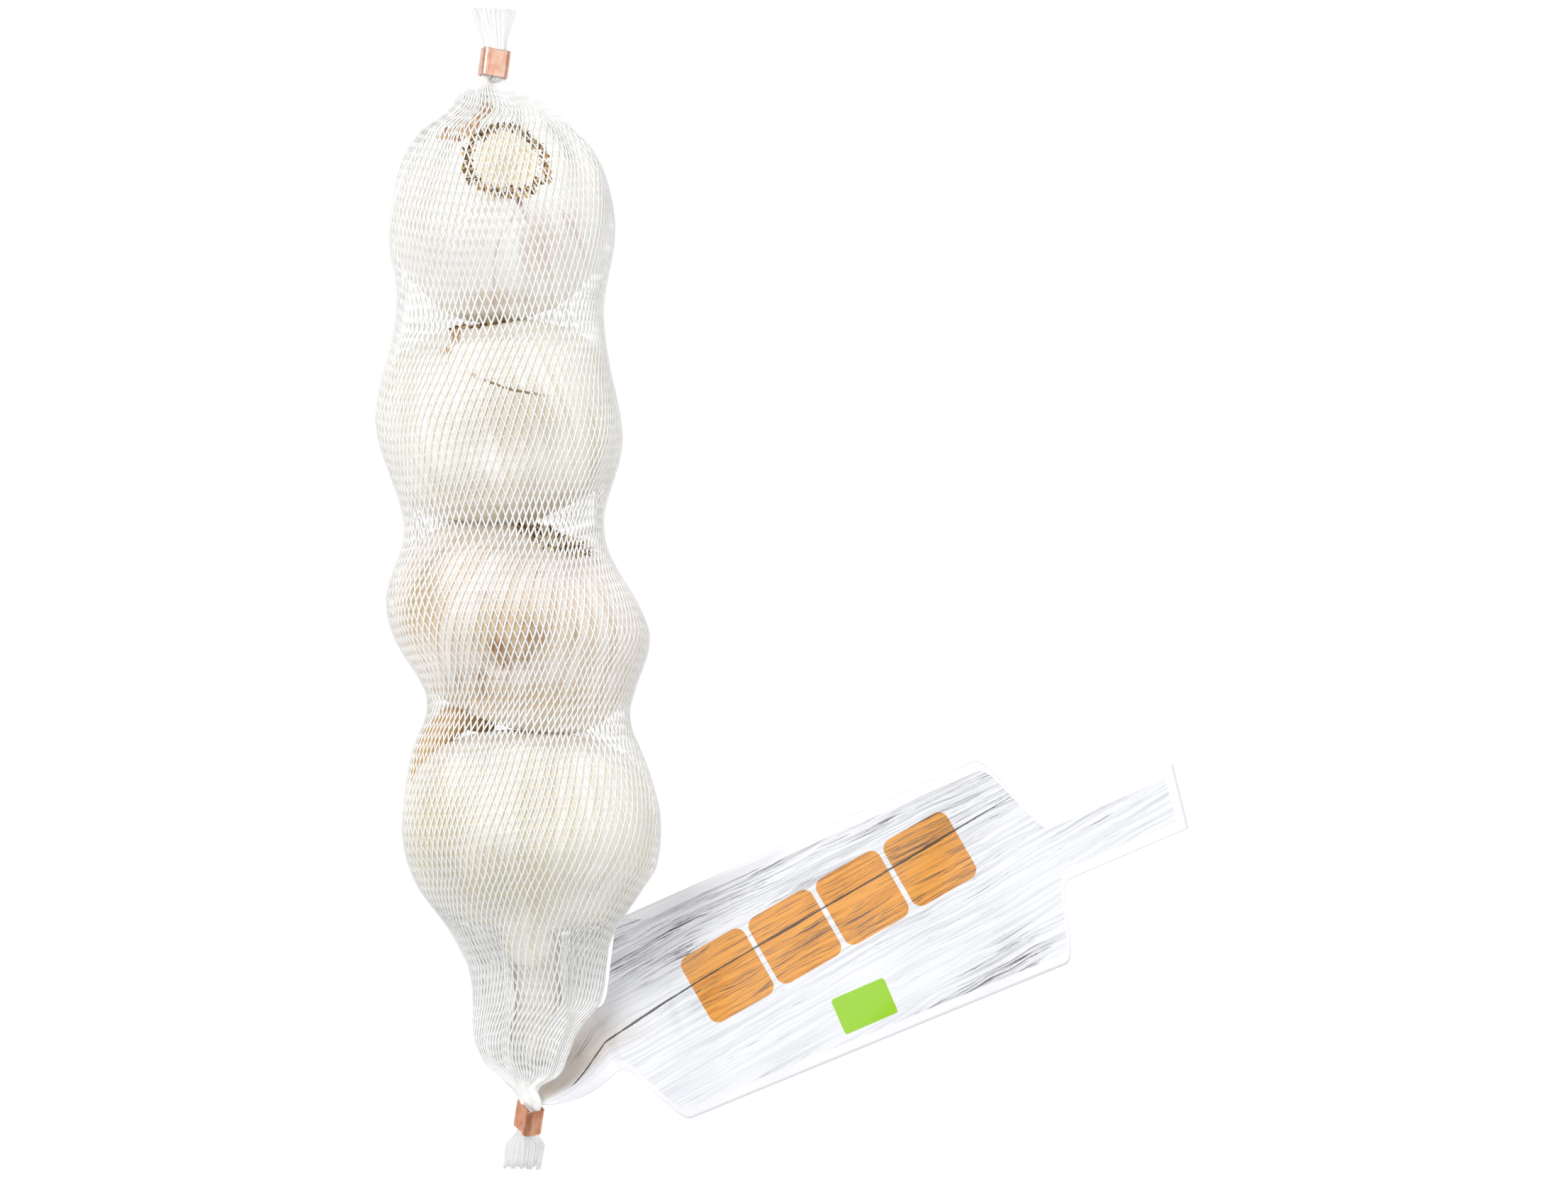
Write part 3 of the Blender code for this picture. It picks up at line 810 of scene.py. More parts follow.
def add_tuft(tuft, finish):
    """Cut strands in uneven clumps, rolled as the clip is where they leave it."""
    rng = np.random.default_rng(tuft.seed)
    spread = np.sqrt(rng.random(TUFT_STRANDS))
    turn = rng.random(TUFT_STRANDS) * 2 * math.pi
    across, deep = spread * np.cos(turn), spread * np.sin(turn)
    clump = np.round(across * TUFT_CLUMPS) / TUFT_CLUMPS
    across_shift = 0.3 * (clump - across) + rng.normal(0, 0.03, TUFT_STRANDS)
    deep_shift = rng.normal(0, 0.06, TUFT_STRANDS)
    length = 1.0 - 0.10 * rng.random(TUFT_STRANDS) - 0.09 * np.abs(np.sin(clump * 7.3 + tuft.seed))
    t = np.linspace(0, 1, TUFT_STEPS)[None] * length[:, None]
    (start, *narrow), (end, *wide) = tuft.mouth, tuft.tip
    paths = start + np.subtract(end, start) * t[..., None]
    open_out = smoothstep(*tuft.fan, t)
    half_width, half_depth = (a + (b - a) * open_out for a, b in zip(narrow, wide))
    curl = TUFT_CURL * np.sin(t * 5 + turn[:, None])
    aside = half_width * (across[:, None] + across_shift[:, None] * t) + curl
    up = half_depth * (deep[:, None] + deep_shift[:, None] * t) + curl * 0.5
    lean = tuft.roll * (1 - open_out)
    paths[..., 0] += aside * np.cos(lean) + up * np.sin(lean)
    paths[..., 2] += up * np.cos(lean) - aside * np.sin(lean)
    normals = np.zeros_like(paths)
    normals[..., 2] = 1.0
    taper = 1 - 0.45 * (t / length[:, None]) ** 3
    mesh = tubes(paths, normals, TUFT_STRAND_WIDTH / 2 * taper, TUFT_STRAND_DEPTH / 2 * taper)
    add_net_piece(tuft.name, *mesh, finish)


# Bulbs


class Bulb(NamedTuple):
    """One garlic bulb. root is the way its root plate faces, neck the places its neck runs through."""

    name: str
    centre: tuple
    root: tuple
    radius: float
    plate_depth: float
    plate_shift: tuple
    shoulder: float
    neck: tuple
    neck_radius: float
    cloves: int
    relief: float
    seed: int


BULBS = (
    Bulb(
        name="bulb_first", centre=(-63.6, 84.4, 22.9), root=(0.05, 0.46, 0.89), radius=24.9,
        plate_depth=17.6, plate_shift=(0.6, 4.2, 0.0), shoulder=16.0,
        neck=((-63.8, 71.0, 6.0), (-64.0, 66.0, 4.6)), neck_radius=4.2,
        cloves=9, relief=0.045, seed=11,
    ),
    Bulb(
        name="bulb_second", centre=(-64.0, 38.9, 25.0), root=(-0.15, 0.985, 0.06), radius=27.0,
        plate_depth=20.6, plate_shift=(-0.6, 0.0, 0.6), shoulder=21.8,
        neck=((-61.6, 16.4, 11.0), (-61.4, 14.6, 5.6)), neck_radius=4.4,
        cloves=8, relief=0.035, seed=23,
    ),
    Bulb(
        name="bulb_third", centre=(-59.4, -7.4, 25.6), root=(0.36, 0.90, 0.25), radius=28.6,
        plate_depth=20.4, plate_shift=(0.0, 0.0, 0.0), shoulder=20.4,
        neck=((-73.0, -28.6, 23.0), (-79.0, -35.0, 23.0), (-82.0, -43.0, 21.0)), neck_radius=4.4,
        cloves=10, relief=0.040, seed=37,
    ),
    Bulb(
        name="bulb_fourth", centre=(-57.0, -53.4, 26.0), root=(0.06, 0.99, -0.06), radius=28.8,
        plate_depth=21.0, plate_shift=(0.0, 0.0, 0.0), shoulder=21.0,
        neck=((-56.2, -82.0, 17.5), (-55.6, -93.0, 11.0), (-55.8, -106.2, 7.3)), neck_radius=6.9,
        cloves=9, relief=0.030, seed=41,
    ),
)

# Share of the bulb's radius at each height along its axis, from the root plate to the neck
BULB_PROFILE = (
    (-0.95, 0.02), (-0.97, 0.14), (-1.00, 0.25), (-0.99, 0.34), (-0.93, 0.52), (-0.76, 0.77),
    (-0.44, 0.945), (0.0, 1.0), (0.40, 0.975), (0.70, 0.895), (0.90, 0.75), (1.03, 0.50), (1.13, 0.25),
)


def bulb_spine(bulb):
    """Places, radii and frames of the bulb's rows, from the root plate's middle to the neck's end."""
    axis = -unit(bulb.root)
    centre = np.array(bulb.centre)
    profile = spline(BULB_PROFILE, BODY_ROWS)
    height = np.where(profile[:, 0] < 0, profile[:, 0] * bulb.plate_depth, profile[:, 0] * bulb.shoulder)
    rim = bulb.neck_radius / bulb.radius
    above = rim + (profile[:, 1] - 0.25) / 0.75 * (1 - rim)
    radii = bulb.radius * np.where(profile[:, 0] > 0, above, profile[:, 1])
    near_plate = smoothstep(0.2, -1.0, profile[:, 0])[:, None]
    places = centre + axis * height[:, None] + np.array(bulb.plate_shift) * near_plate
    bend = spline([places[-3], places[-1], *bulb.neck], NECK_ROWS + 6)[6:]
    fade = np.linspace(0, 1, len(bend))
    neck_radii = radii[-1] * (1 - 0.18 * np.sin(math.pi * fade) + 0.05 * np.sin(9 * fade))
    places = np.vstack([places, bend, bend[-1:], bend[-1:]])
    radii = np.concatenate([radii, neck_radii, neck_radii[-1:] * 0.6, [0.05]])
    body, end = np.tile(axis, (BODY_ROWS, 1)), np.tile(unit(bend[-1] - bend[-2]), (2, 1))
    tangents = np.vstack([body, unit(np.gradient(bend, axis=0)), end])
    side = unit(np.cross(axis, (1.0, 0.0, 0.3)))
    sides = []
    for t in tangents:
        side = unit(side - t * side.dot(t))
        sides.append(side)
    return places, radii, tangents, np.array(sides)


def clove_shape(bulb, angle, weight):
    """How far cloves and the grooves between them move the skin, as a share of the radius."""
    rng = np.random.default_rng(bulb.seed)
    grooves = (np.arange(bulb.cloves) + rng.uniform(-0.28, 0.28, bulb.cloves)) * 2 * math.pi / bulb.cloves
    depth = rng.uniform(0.35, 1.0, bulb.cloves)
    width = rng.uniform(0.09, 0.17, bulb.cloves)
    shape = np.zeros_like(angle)
    for g, d, w in zip(grooves, depth, width):
        shape -= d * np.exp(-np.abs(wrapped(angle - g) / w) ** 1.5)
    phase = rng.uniform(0, 2 * math.pi, 4)
    swell = 0.35 * np.cos(2 * angle + phase[0]) + 0.25 * np.cos(3 * angle + phase[1])
    ripple = 0.05 * np.cos(27 * angle + phase[2]) + 0.04 * np.cos(41 * angle + phase[3])
    return bulb.relief * weight * (shape + swell + ripple)


def bulb_mesh(bulb, surface):
    """Vertices and faces of a bulb, with each vertex's place in the skin's grain and along the bulb."""
    places, radii, tangents, sides = bulb_spine(bulb)
    rows = len(radii)
    angle = np.arange(BULB_COLUMNS)[None] * 2 * math.pi / BULB_COLUMNS
    past_body = 1 + 0.02 * np.arange(1, rows - BODY_ROWS + 1)
    share = np.concatenate([np.linspace(0, 1, BODY_ROWS), past_body])[:, None] + 0 * angle
    weight = smoothstep(0.12, 0.42, share) * (1 - 0.55 * smoothstep(0.70, 0.98, share))
    swirled = angle + 0.16 * np.sin(share * 2.4 + bulb.seed)
    r = radii[:, None] * (1 + clove_shape(bulb, swirled, weight))
    other = np.cross(tangents, sides)
    ring = np.cos(angle)[..., None] * sides[:, None] + np.sin(angle)[..., None] * other[:, None]
    vertices = surface.pressed_inside((places[:, None] + ring * r[..., None]).reshape(-1, 3))
    start, base = len(vertices), len(vertices) - BULB_COLUMNS
    vertices = np.vstack([vertices, vertices[:BULB_COLUMNS].mean(0), vertices[base:].mean(0)])
    faces = [tuple(f) for f in grid_faces(rows, BULB_COLUMNS, True)]
    fan = [(a, (a + 1) % BULB_COLUMNS) for a in range(BULB_COLUMNS)]
    faces += [(b, a, start) for a, b in fan] + [(base + a, base + b, start + 1) for a, b in fan]
    grain = np.stack([np.cos(swirled), np.sin(swirled), share * 2], -1).reshape(-1, 3)
    grain = np.vstack([grain, grain[:1], grain[-1:]])
    along = np.concatenate([share.ravel(), [0.0, share[-1, 0]]])
    return vertices, faces, grain, along


def blob(vertices, places):
    """A mask of soft round spots on the upper side. places are (x, y, half width, half height, strength)."""
    mask = np.zeros(len(vertices))
    for x, y, wide, high, strength in places:
        far = ((vertices[:, 0] - x) / wide) ** 2 + ((vertices[:, 1] - y) / high) ** 2
        mask = np.maximum(mask, strength * np.exp(-far) * (vertices[:, 2] > MARK_HEIGHT))
    return mask


def add_content(name, vertices, faces, finish, values):
    """A piece inside the net, with the values that its material reads."""
    piece = new_mesh(name, vertices, faces, finish)
    for key, numbers in values.items():
        add_value(piece, key, numbers)
    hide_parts("net_sleeve")
    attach(piece, "root")


def add_bulb(bulb, surface, marks):
    vertices, faces, grain, along = bulb_mesh(bulb, surface)
    tear, tear_depth = skin_line(vertices, *marks["tear"])
    values = {
        "grain": grain,
        "plate": 1 - smoothstep(*PLATE_RIM, along),
        "stain": blob(vertices, marks["stain"]),
        "blush_and_shade": np.clip(marks["blush_all"] + blob(vertices, marks["blush_and_shade"]), 0, 1),
        "dry": marks["dry"] * smoothstep(0.93, 1.03, along),
        "tear": tear,
        "tear_depth": tear_depth,
    }
    finish = skin_finish(bulb.name.replace("bulb", "skin"), **marks["skin"])
    add_content(bulb.name, vertices, faces, finish, values)


def root_frame(bulb):
    """The root plate's middle and two directions across it."""
    out = unit(bulb.root)
    side = unit(np.cross(out, (0.0, 0.0, 1.0)))
    middle = np.array(bulb.centre) + out * bulb.plate_depth + np.array(bulb.plate_shift)
    return middle, out, side, np.cross(out, side)


class Roots(NamedTuple):
    """Dry root stubs round a plate's rim. ring, length, lean and thickness are (low, high)."""

    count: int
    ring: tuple
    length: tuple
    lean: tuple
    thickness: tuple
    stretch: float = 1.0


ROOTS = (
    Roots(480, (6.8, 9.2), (0.6, 1.4), (-0.3, 0.9), (0.32, 0.62), 1.22),
    Roots(150, (3.5, 7.2), (0.7, 2.0), (0.1, 0.9), (0.25, 0.45)),
    Roots(210, (3.5, 8.0), (1.2, 3.6), (0.2, 1.2), (0.16, 0.34)),
    Roots(40, (3.5, 7.5), (0.6, 1.6), (0.1, 0.9), (0.2, 0.35)),
)


def add_roots(bulb, roots, surface, finish):
    rng = np.random.default_rng(bulb.seed + 100)
    count = roots.count
    middle, out, side, other = root_frame(bulb)
    turn = rng.uniform(0.0, 2 * math.pi, count)
    radius = rng.uniform(*roots.ring, count) - LOW_FRINGE * rng.random(count) * np.sin(turn)
    radius = radius * (1 + (roots.stretch - 1) * np.cos(turn) ** 2)
    reach = rng.uniform(*roots.length, count)
    tilt = rng.uniform(*roots.lean, count)
    spoke = np.cos(turn)[:, None] * side + np.sin(turn)[:, None] * other
    twist = np.cross(spoke, out)
    sway = rng.normal(0, 0.16, count)
    t = np.linspace(0, 1, ROOT_STEPS)
    bend = tilt[:, None] + 0.5 * t
    travel = reach[:, None] * t
    spread = (radius[:, None] + travel * np.sin(bend))[..., None]
    lift = (travel * np.cos(bend) - ROOT_SEAT)[..., None]
    drift = (sway[:, None] * travel)[..., None]
    paths = middle + spoke[:, None] * spread + out * lift + twist[:, None] * drift
    thick = rng.uniform(*roots.thickness, count)[:, None] * (1 - 0.55 * t**2)
    thick = thick * (1 + 0.22 * np.sin(9 * t + turn[:, None] * 5))
    vertices, faces = tubes(paths, np.repeat(twist[:, None], ROOT_STEPS, 1), thick, thick * 0.8)
    values = {"tone": np.repeat(rng.random(count), ROOT_STEPS * 4)}
    add_content(bulb.name + "_roots", surface.pressed_inside(vertices), faces, finish, values)


def add_flake(name, surface, centre, size, turn, inset, finish, seed):
    """A scrap of papery skin lying just under the net, with a ragged edge."""
    rng = np.random.default_rng(seed)
    edge = np.arange(FLAKE_COLUMNS) * 2 * math.pi / FLAKE_COLUMNS
    ragged = 1 + 0.16 * np.sin(3 * edge + seed) + 0.12 * np.sin(5 * edge + 2 * seed)
    ragged = ragged + rng.normal(0, 0.05, FLAKE_COLUMNS)
    vertices, rim = [], []
    for sheet in (0.0, FLAKE_THICKNESS):
        for share in np.linspace(0.04, 1.0, FLAKE_ROWS):
            a, b = size[0] * share * ragged * np.cos(edge), size[1] * share * ragged * np.sin(edge)
            x = centre[0] + a * math.cos(turn) - b * math.sin(turn)
            y = centre[1] + a * math.sin(turn) + b * math.cos(turn)
            vertices.append(surface.under_top(x, y, inset + sheet))
            rim.append(np.full(FLAKE_COLUMNS, share))
    half = FLAKE_ROWS * FLAKE_COLUMNS
    top = grid_faces(FLAKE_ROWS, FLAKE_COLUMNS, True)
    faces = [tuple(f) for f in top] + [tuple(f[::-1] + half) for f in top]
    last = half - FLAKE_COLUMNS
    for i in range(FLAKE_COLUMNS):
        j = (i + 1) % FLAKE_COLUMNS
        faces.append((last + i, last + j, half + last + j, half + last + i))
    faces += [tuple(range(FLAKE_COLUMNS))[::-1], tuple(range(half, half + FLAKE_COLUMNS))]
    add_content(name, np.vstack(vertices), faces, finish, {"rim": np.concatenate(rim)})


def skin_line(vertices, pixels, upright, strength, ends):
    """Signed distance from a line in the skin, and its strength. ends are the lengths of its faded ends."""
    line = np.array([from_photo(*p) for p in pixels])
    along, across = (1, 0) if upright else (0, 1)
    line = line[np.argsort(line[:, along])]
    run = vertices[:, along]
    away = vertices[:, across] - np.interp(run, line[:, along], line[:, across])
    start, end = line[0, along], line[-1, along]
    fade = window((start, start + ends[0]), (end - ends[1], end), run)
    return away, strength * fade * (vertices[:, 2] > TEAR_HEIGHT)


def marks_at(*spots):
    """Spots given by photograph pixel: (px, py, half width, half height, strength)."""
    return tuple((*from_photo(px, py), wide, high, strength) for px, py, wide, high, strength in spots)


# Each bulb's colours and marks. tear is (pixels, upright, strength, lengths of its faded ends). The tinting
# spots are partly pink and tan tints and partly painted shade low on the bulbs and at their sides.
PALE_NECK = rgb(226, 208, 168)
CREAM = {"light": rgb(254, 252, 244), "dark": rgb(243, 237, 220), "neck": PALE_NECK}
BULB_MARKS = (
    {
        "skin": {
            "light": rgb(255, 254, 249), "dark": rgb(248, 244, 233), "neck": PALE_NECK,
            "blush_and_shade": rgb(226, 210, 198), "stain": rgb(120, 78, 46), "crease": rgb(168, 128, 104),
        },
        "stain": marks_at((735, 288, 0.9, 2.0, 1.0), (742, 306, 0.8, 2.2, 0.7), (704, 160, 3.0, 1.6, 0.5)),
        "blush_and_shade": marks_at((762, 350, 6.0, 9.0, 0.75), (705, 425, 11.0, 2.6, 0.9), (808, 330, 4.0, 9.0, 0.7)),
        "blush_all": 0.0,
        "dry": 0.0,
        "tear": (((735, 290), (722, 318), (706, 344), (700, 369), (699, 446)), True, 0.28, (5.0, 4.0)),
    },
    {
        "skin": {
            **CREAM,
            "blush_and_shade": rgb(220, 212, 194), "stain": rgb(190, 140, 76), "crease": rgb(134, 112, 66),
        },
        "stain": marks_at(
            (671, 533, 0.8, 0.8, 1.1), (646, 472, 1.5, 3.4, 1.1), (634, 497, 2.4, 1.1, 0.95),
            (612, 473, 2.6, 0.9, 0.8), (811, 500, 0.5, 3.0, 0.4), (664, 457, 5.0, 1.8, 1.1),
        ),
        "blush_and_shade": marks_at(
            (720, 700, 22.0, 5.5, 0.8), (840, 620, 6.0, 12.0, 0.5), (725, 590, 14.0, 8.0, 0.85),
        ),
        "blush_all": 0.12,
        "dry": 0.0,
        "tear": (((676, 534), (698, 543), (720, 551), (745, 556), (784, 562)), False, 0.95, (3.0, 6.0)),
    },
    {
        "skin": {
            "light": rgb(254, 248, 242), "dark": rgb(238, 226, 213), "neck": rgb(218, 182, 132),
            "blush_and_shade": rgb(216, 196, 164), "stain": rgb(170, 130, 90), "crease": rgb(150, 108, 74),
        },
        "stain": marks_at(
            (708, 912, 5.4, 4.2, 0.86), (748, 900, 6.6, 6.4, 0.72), (812, 905, 4.0, 5.6, 0.6),
            (684, 962, 4.2, 6.0, 0.72), (722, 920, 12.5, 9.0, 0.68), (651, 999, 3.0, 3.0, 0.6),
            (756, 806, 7.0, 3.6, 0.56), (700, 860, 5.0, 7.0, 0.55), (652, 960, 5.0, 3.2, 0.6),
        ),
        "blush_and_shade": marks_at(
            (690, 800, 14.0, 6.0, 0.25), (600, 860, 7.0, 12.0, 0.75), (725, 890, 13.0, 8.0, 0.9),
            (840, 900, 8.0, 12.0, 0.4), (735, 985, 20.0, 5.0, 0.8), (750, 850, 10.0, 6.0, 0.4),
        ),
        "blush_all": 0.16,
        "dry": 0.9,
        "tear": (((640, 946), (680, 953), (732, 961)), False, 0.3, (4.0, 4.0)),
    },
    {
        "skin": {
            **CREAM,
            "blush_and_shade": rgb(226, 219, 194), "stain": rgb(150, 118, 70), "crease": rgb(170, 158, 124),
        },
        "stain": marks_at((723, 1493, 0.8, 0.8, 0.9), (756, 1266, 3.6, 0.9, 0.5)),
        "blush_and_shade": marks_at(
            (722, 1238, 13.0, 9.0, 0.9), (620, 1170, 9.0, 14.0, 0.8), (740, 1130, 12.0, 10.0, 0.45),
        ),
        "blush_all": 0.22,
        "dry": 0.0,
        "tear": (((716, 1300), (722, 1350), (718, 1440)), True, 0.25, (6.0, 6.0)),
    },
)


# Scraps of dry skin: (name, photograph pixel, half size, turn, depth under the net, seed)
FLAKES = (
    ("flake_first", (668, 166), (5.4, 2.9), 0.95, 0.3, 3),
    ("flake_second", (644, 190), (3.4, 1.9), 0.2, 0.28, 5),
)


def add_bulbs(surface):
    for bulb, marks in zip(BULBS, BULB_MARKS):
        add_bulb(bulb, surface, marks)
    golden = root_finish("root_stub", rgb(224, 190, 132), rgb(112, 82, 54), (0.36, 0.7))
    dark = root_finish("root_dark", rgb(212, 174, 118), rgb(104, 78, 52), (0.46, 0.78))
    for bulb, roots, finish in zip(BULBS, ROOTS, (golden, golden, dark, dark)):
        add_roots(bulb, roots, surface, finish)
    paper = paper_finish()
    for name, pixel, size, turn, inset, seed in FLAKES:
        add_flake(name, surface, from_photo(*pixel), size, turn, inset, paper, seed)


# Clips


def strip_line(height):
    """The middle line of a clip's strip: once round a rounded box, then over its own start."""
    wide = (CLIP_WIDTH - STRIP_THICKNESS) / 2 - CLIP_CORNER
    high = (height - STRIP_THICKNESS) / 2 - CLIP_CORNER
    corners = ((wide, high), (wide, -high), (-wide, -high), (-wide, high))
    arc = math.pi / 2 * CLIP_CORNER
    around = 4 * (wide + high + arc)
    travelled = np.linspace(0, around + STRIP_LAP, STRIP_STEPS)
    out = CLIP_CORNER + (STRIP_THICKNESS + LAP_GAP) * smoothstep(around - arc, around, travelled)
    line = []
    for left, reach in zip(travelled % around, out):
        for side, (x, z) in enumerate(corners):
            run = 2 * (high if side % 2 else wide)
            if left <= run + arc or side == 3:
                break
            left -= run + arc
        back = max(run - left, 0.0)
        facing = math.pi / 2 * (1 - side)
        turn = facing - max(left - run, 0.0) / CLIP_CORNER
        x += reach * math.cos(turn) - back * math.sin(facing)
        z += reach * math.sin(turn) + back * math.cos(facing)
        line.append((x, z))
    return np.array(line)


def add_clip(clip, finish):
    line = strip_line(clip.height) * (clip.hand, 1)
    ends = np.linspace(-CLIP_LENGTH / 2, CLIP_LENGTH / 2, CLIP_ROWS)
    vertices = np.array([(x, y, z) for y in ends for x, z in line])
    strip = new_mesh("copper_" + clip.node, vertices, grid_faces(CLIP_ROWS, len(line), False), finish)
    strip.location = [c * MM for c in clip.centre]
    strip.rotation_mode = "YXZ"
    strip.rotation_euler = clip.turn
    wall = strip.modifiers.new("wall", "SOLIDIFY")
    wall.thickness = STRIP_THICKNESS * MM
    wall.offset = 0.0
    wall.use_even_offset = True
    edge = strip.modifiers.new("edge", "BEVEL")
    edge.width = CLIP_EDGE * MM
    edge.segments = 3
    edge.limit_method = "ANGLE"
    edge.angle_limit = math.radians(50)
    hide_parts(clip.node)
    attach(strip, "root")


# Label


def label_edge(edge, u):
    body = np.interp(u, BODY_SPAN, (edge.body_start, edge.body_end))
    near = edge.tail + (body - edge.tail) * rounded_ramp(*edge.near_shoulder, u)
    return near + (edge.handle - near) * rounded_ramp(*edge.far_shoulder, u)


def label_height(u, v):
    past_crease = v - CREASE_START[1] - CREASE_SLOPE * (u - CREASE_START[0])
    lean = LEAN_SLOPE * soft_ramp(past_crease, CREASE_ROUNDING)
    lean = LEAN_TOP * np.tanh(lean / LEAN_TOP)
    fade = smoothstep(TAIL_LENGTH - 4.0, TAIL_LENGTH + 14.0, u)
    wave = WAVE_HEIGHT * (1.0 - np.cos(2 * math.pi * (u - TAIL_LENGTH) / WAVE_LENGTH)) / 2
    return LABEL_REST + lean * fade + wave


def label_point(u, side):
    low, high = label_edge(LOWER_EDGE, u), label_edge(UPPER_EDGE, u)
    v = low + (high - low) * (side + 1.0) / 2.0
    slanted = u + END_SLANT * v * smoothstep(LABEL_LENGTH - 12.0, LABEL_LENGTH, u)
    along = np.array((math.cos(LABEL_ANGLE), math.sin(LABEL_ANGLE)))
    across = np.array((-along[1], along[0]))
    plan = LABEL_ORIGIN + along * slanted[..., None] + across * v[..., None]
    return np.concatenate([plan, label_height(u, v)[..., None]], -1), v


def tail_point(t, side):
    """The film between the clip's mouth, at t = 0, and the body, at t = 1."""
    x, y, _ = BOTTOM_CLIP.centre
    _, roll, yaw = BOTTOM_CLIP.turn
    across = np.array((math.cos(yaw), math.sin(yaw)))
    mouth = np.array((x + CLIP_LENGTH / 2 * math.tan(-yaw), y + CLIP_LENGTH / 2))
    mouth = mouth - across * GATHER_DEPTH * math.sin(roll)
    start = mouth - across * GATHER_HALF_WIDTH * math.cos(roll) * side[..., None]
    end, v = label_point(np.full_like(side, TAIL_LENGTH), side)
    share = ((side + 1.0) / 2.0)[..., None]
    pull = LOWER_PULL * (1.0 - share) + UPPER_PULL * share
    f = t[..., None]
    plan = start * (1 - f) ** 2 + pull * 2 * f * (1 - f) + end[..., :2] * f**2
    mouth_height = MOUTH_HEIGHT + GATHER_HALF_WIDTH * math.sin(roll) * side
    base = mouth_height + (end[..., 2] - mouth_height) * smoothstep(0.0, TAIL_REST, t)
    lip = LIP_HEIGHT * np.sin(math.pi * t) ** 2 * np.maximum(-side, 0.0) ** 2
    return np.concatenate([plan, (base + lip)[..., None]], -1), v


def bore_point(depth, side):
    start, v = tail_point(np.zeros_like(side), side)
    start[..., 0] += depth * math.tan(BOTTOM_CLIP.turn[2])
    start[..., 1] -= depth
    start[..., 2] += (BORE_HEIGHT - MOUTH_HEIGHT) * depth / BORE_DEPTH
    return start, v


def film_sheet():
    """The film's middle surface with, for each point, its place on the print."""
    side = np.linspace(-1, 1, FILM_COLUMNS + 1)
    rows = []
    for depth in (BORE_DEPTH, BORE_DEPTH / 2):
        points, v = bore_point(np.full_like(side, depth), side)
        rows.append((points, np.full_like(v, -depth), v))
    for t in np.arange(FILM_TAIL_ROWS) / FILM_TAIL_ROWS:
        points, v = tail_point(np.full_like(side, t), side)
        rows.append((points, np.full_like(v, t * TAIL_LENGTH), v))
    for u in np.linspace(TAIL_LENGTH, LABEL_LENGTH, FILM_BODY_ROWS):
        points, v = label_point(np.full_like(side, u), side)
        rows.append((points, np.full_like(v, u), v))
    points, u, v = (np.array(part) for part in zip(*rows))
    points[..., 2] += film_creases(u, v)
    return points, u, v


def film_creases(u, v):
    """Small folds and unevenness of the film."""
    body = smoothstep(TAIL_LENGTH, TAIL_LENGTH + 6.0, u)
    fold = FILM_FOLD * bell(u - 0.25 * v, 22.6, 1.3) * (1 - smoothstep(-3.0, 1.0, v))
    nick = FILM_NICK * bell(u - 0.1 * v, 38.0, 1.1) * bell(v, -1.5, 3.2)
    large, small = FILM_SWELLS
    swell = large * np.sin(u / 7.0 + v / 9.0) + small * np.sin(u / 4.1 - v / 5.3 + 1.0)
    edge_curl = EDGE_CURL * smoothstep(17.0, 25.0, np.abs(v))
    return (fold + nick + swell + edge_curl) * body


def rounded_box(u, v, centre, half, corner):
    """How far inside a rounded rectangle a place on the print is; negative outside it."""
    du = np.abs(u - centre[0]) - half[0] + corner
    dv = np.abs(v - centre[1]) - half[1] + corner
    outside = np.hypot(np.maximum(du, 0), np.maximum(dv, 0)) + np.minimum(np.maximum(du, dv), 0)
    return corner - outside


def print_place(u, v):
    """A place on the print, which is turned on the film, from a place on the film."""
    cos, sin = math.cos(PRINT_TURN), math.sin(PRINT_TURN)
    out = u - PRINT_PIVOT
    return PRINT_PIVOT + out * cos + v * sin, v * cos - out * sin


def print_fields(u, v):
    """How far inside the nearest orange field a place on the print is."""
    middles = [(middle, FIELD_HEIGHT) for middle in FIELD_MIDDLES]
    return np.max([rounded_box(u, v, middle, FIELD_HALF, FIELD_CORNER) for middle in middles], axis=0)


def wear_and_net_shade(u, v):
    """How much dark grain shows: most along the upper edge, by the tail and in the lower far corner. By the
    tail it is partly painted shade of the net.
    """
    upper = UPPER_WEAR * smoothstep(9.0, 17.0, v + 0.03 * (u - 60.0))
    middle = MIDDLE_WEAR * bell(v, 1.0, 9.0) * window((30.0, 44.0), (112.0, 124.0), u)
    handle = HANDLE_WEAR * smoothstep(126.0, 134.0, u) * smoothstep(-2.0, 3.0, v)
    # By the tail: painted shade of the net on the film, drawn as more and darker grain, together with rubbing
    # there
    near = TAIL_WEAR_AND_SHADE * bell(u, 38.0, 13.0) * smoothstep(2.0, 13.0, v)
    spots = [
        strength * bell(u, at, reach) * bell(v - slope * (u - at), across, width)
        for at, reach, across, width, slope, strength in WORN_SPOTS
    ]
    return upper + middle + handle + near + sum(spots)


def print_margin(u, v):
    """How far inside the film's edges a place is."""
    low, high = label_edge(LOWER_EDGE, u), label_edge(UPPER_EDGE, u)
    beside = np.minimum(high - v, v - low)
    margin = np.where(u < TAIL_LENGTH + 1, beside, np.minimum(beside, LABEL_LENGTH - u))
    return margin + PRINT_MARGIN * 2 * (1 - smoothstep(*BARE_SHOULDER, u)) * (v > 0)


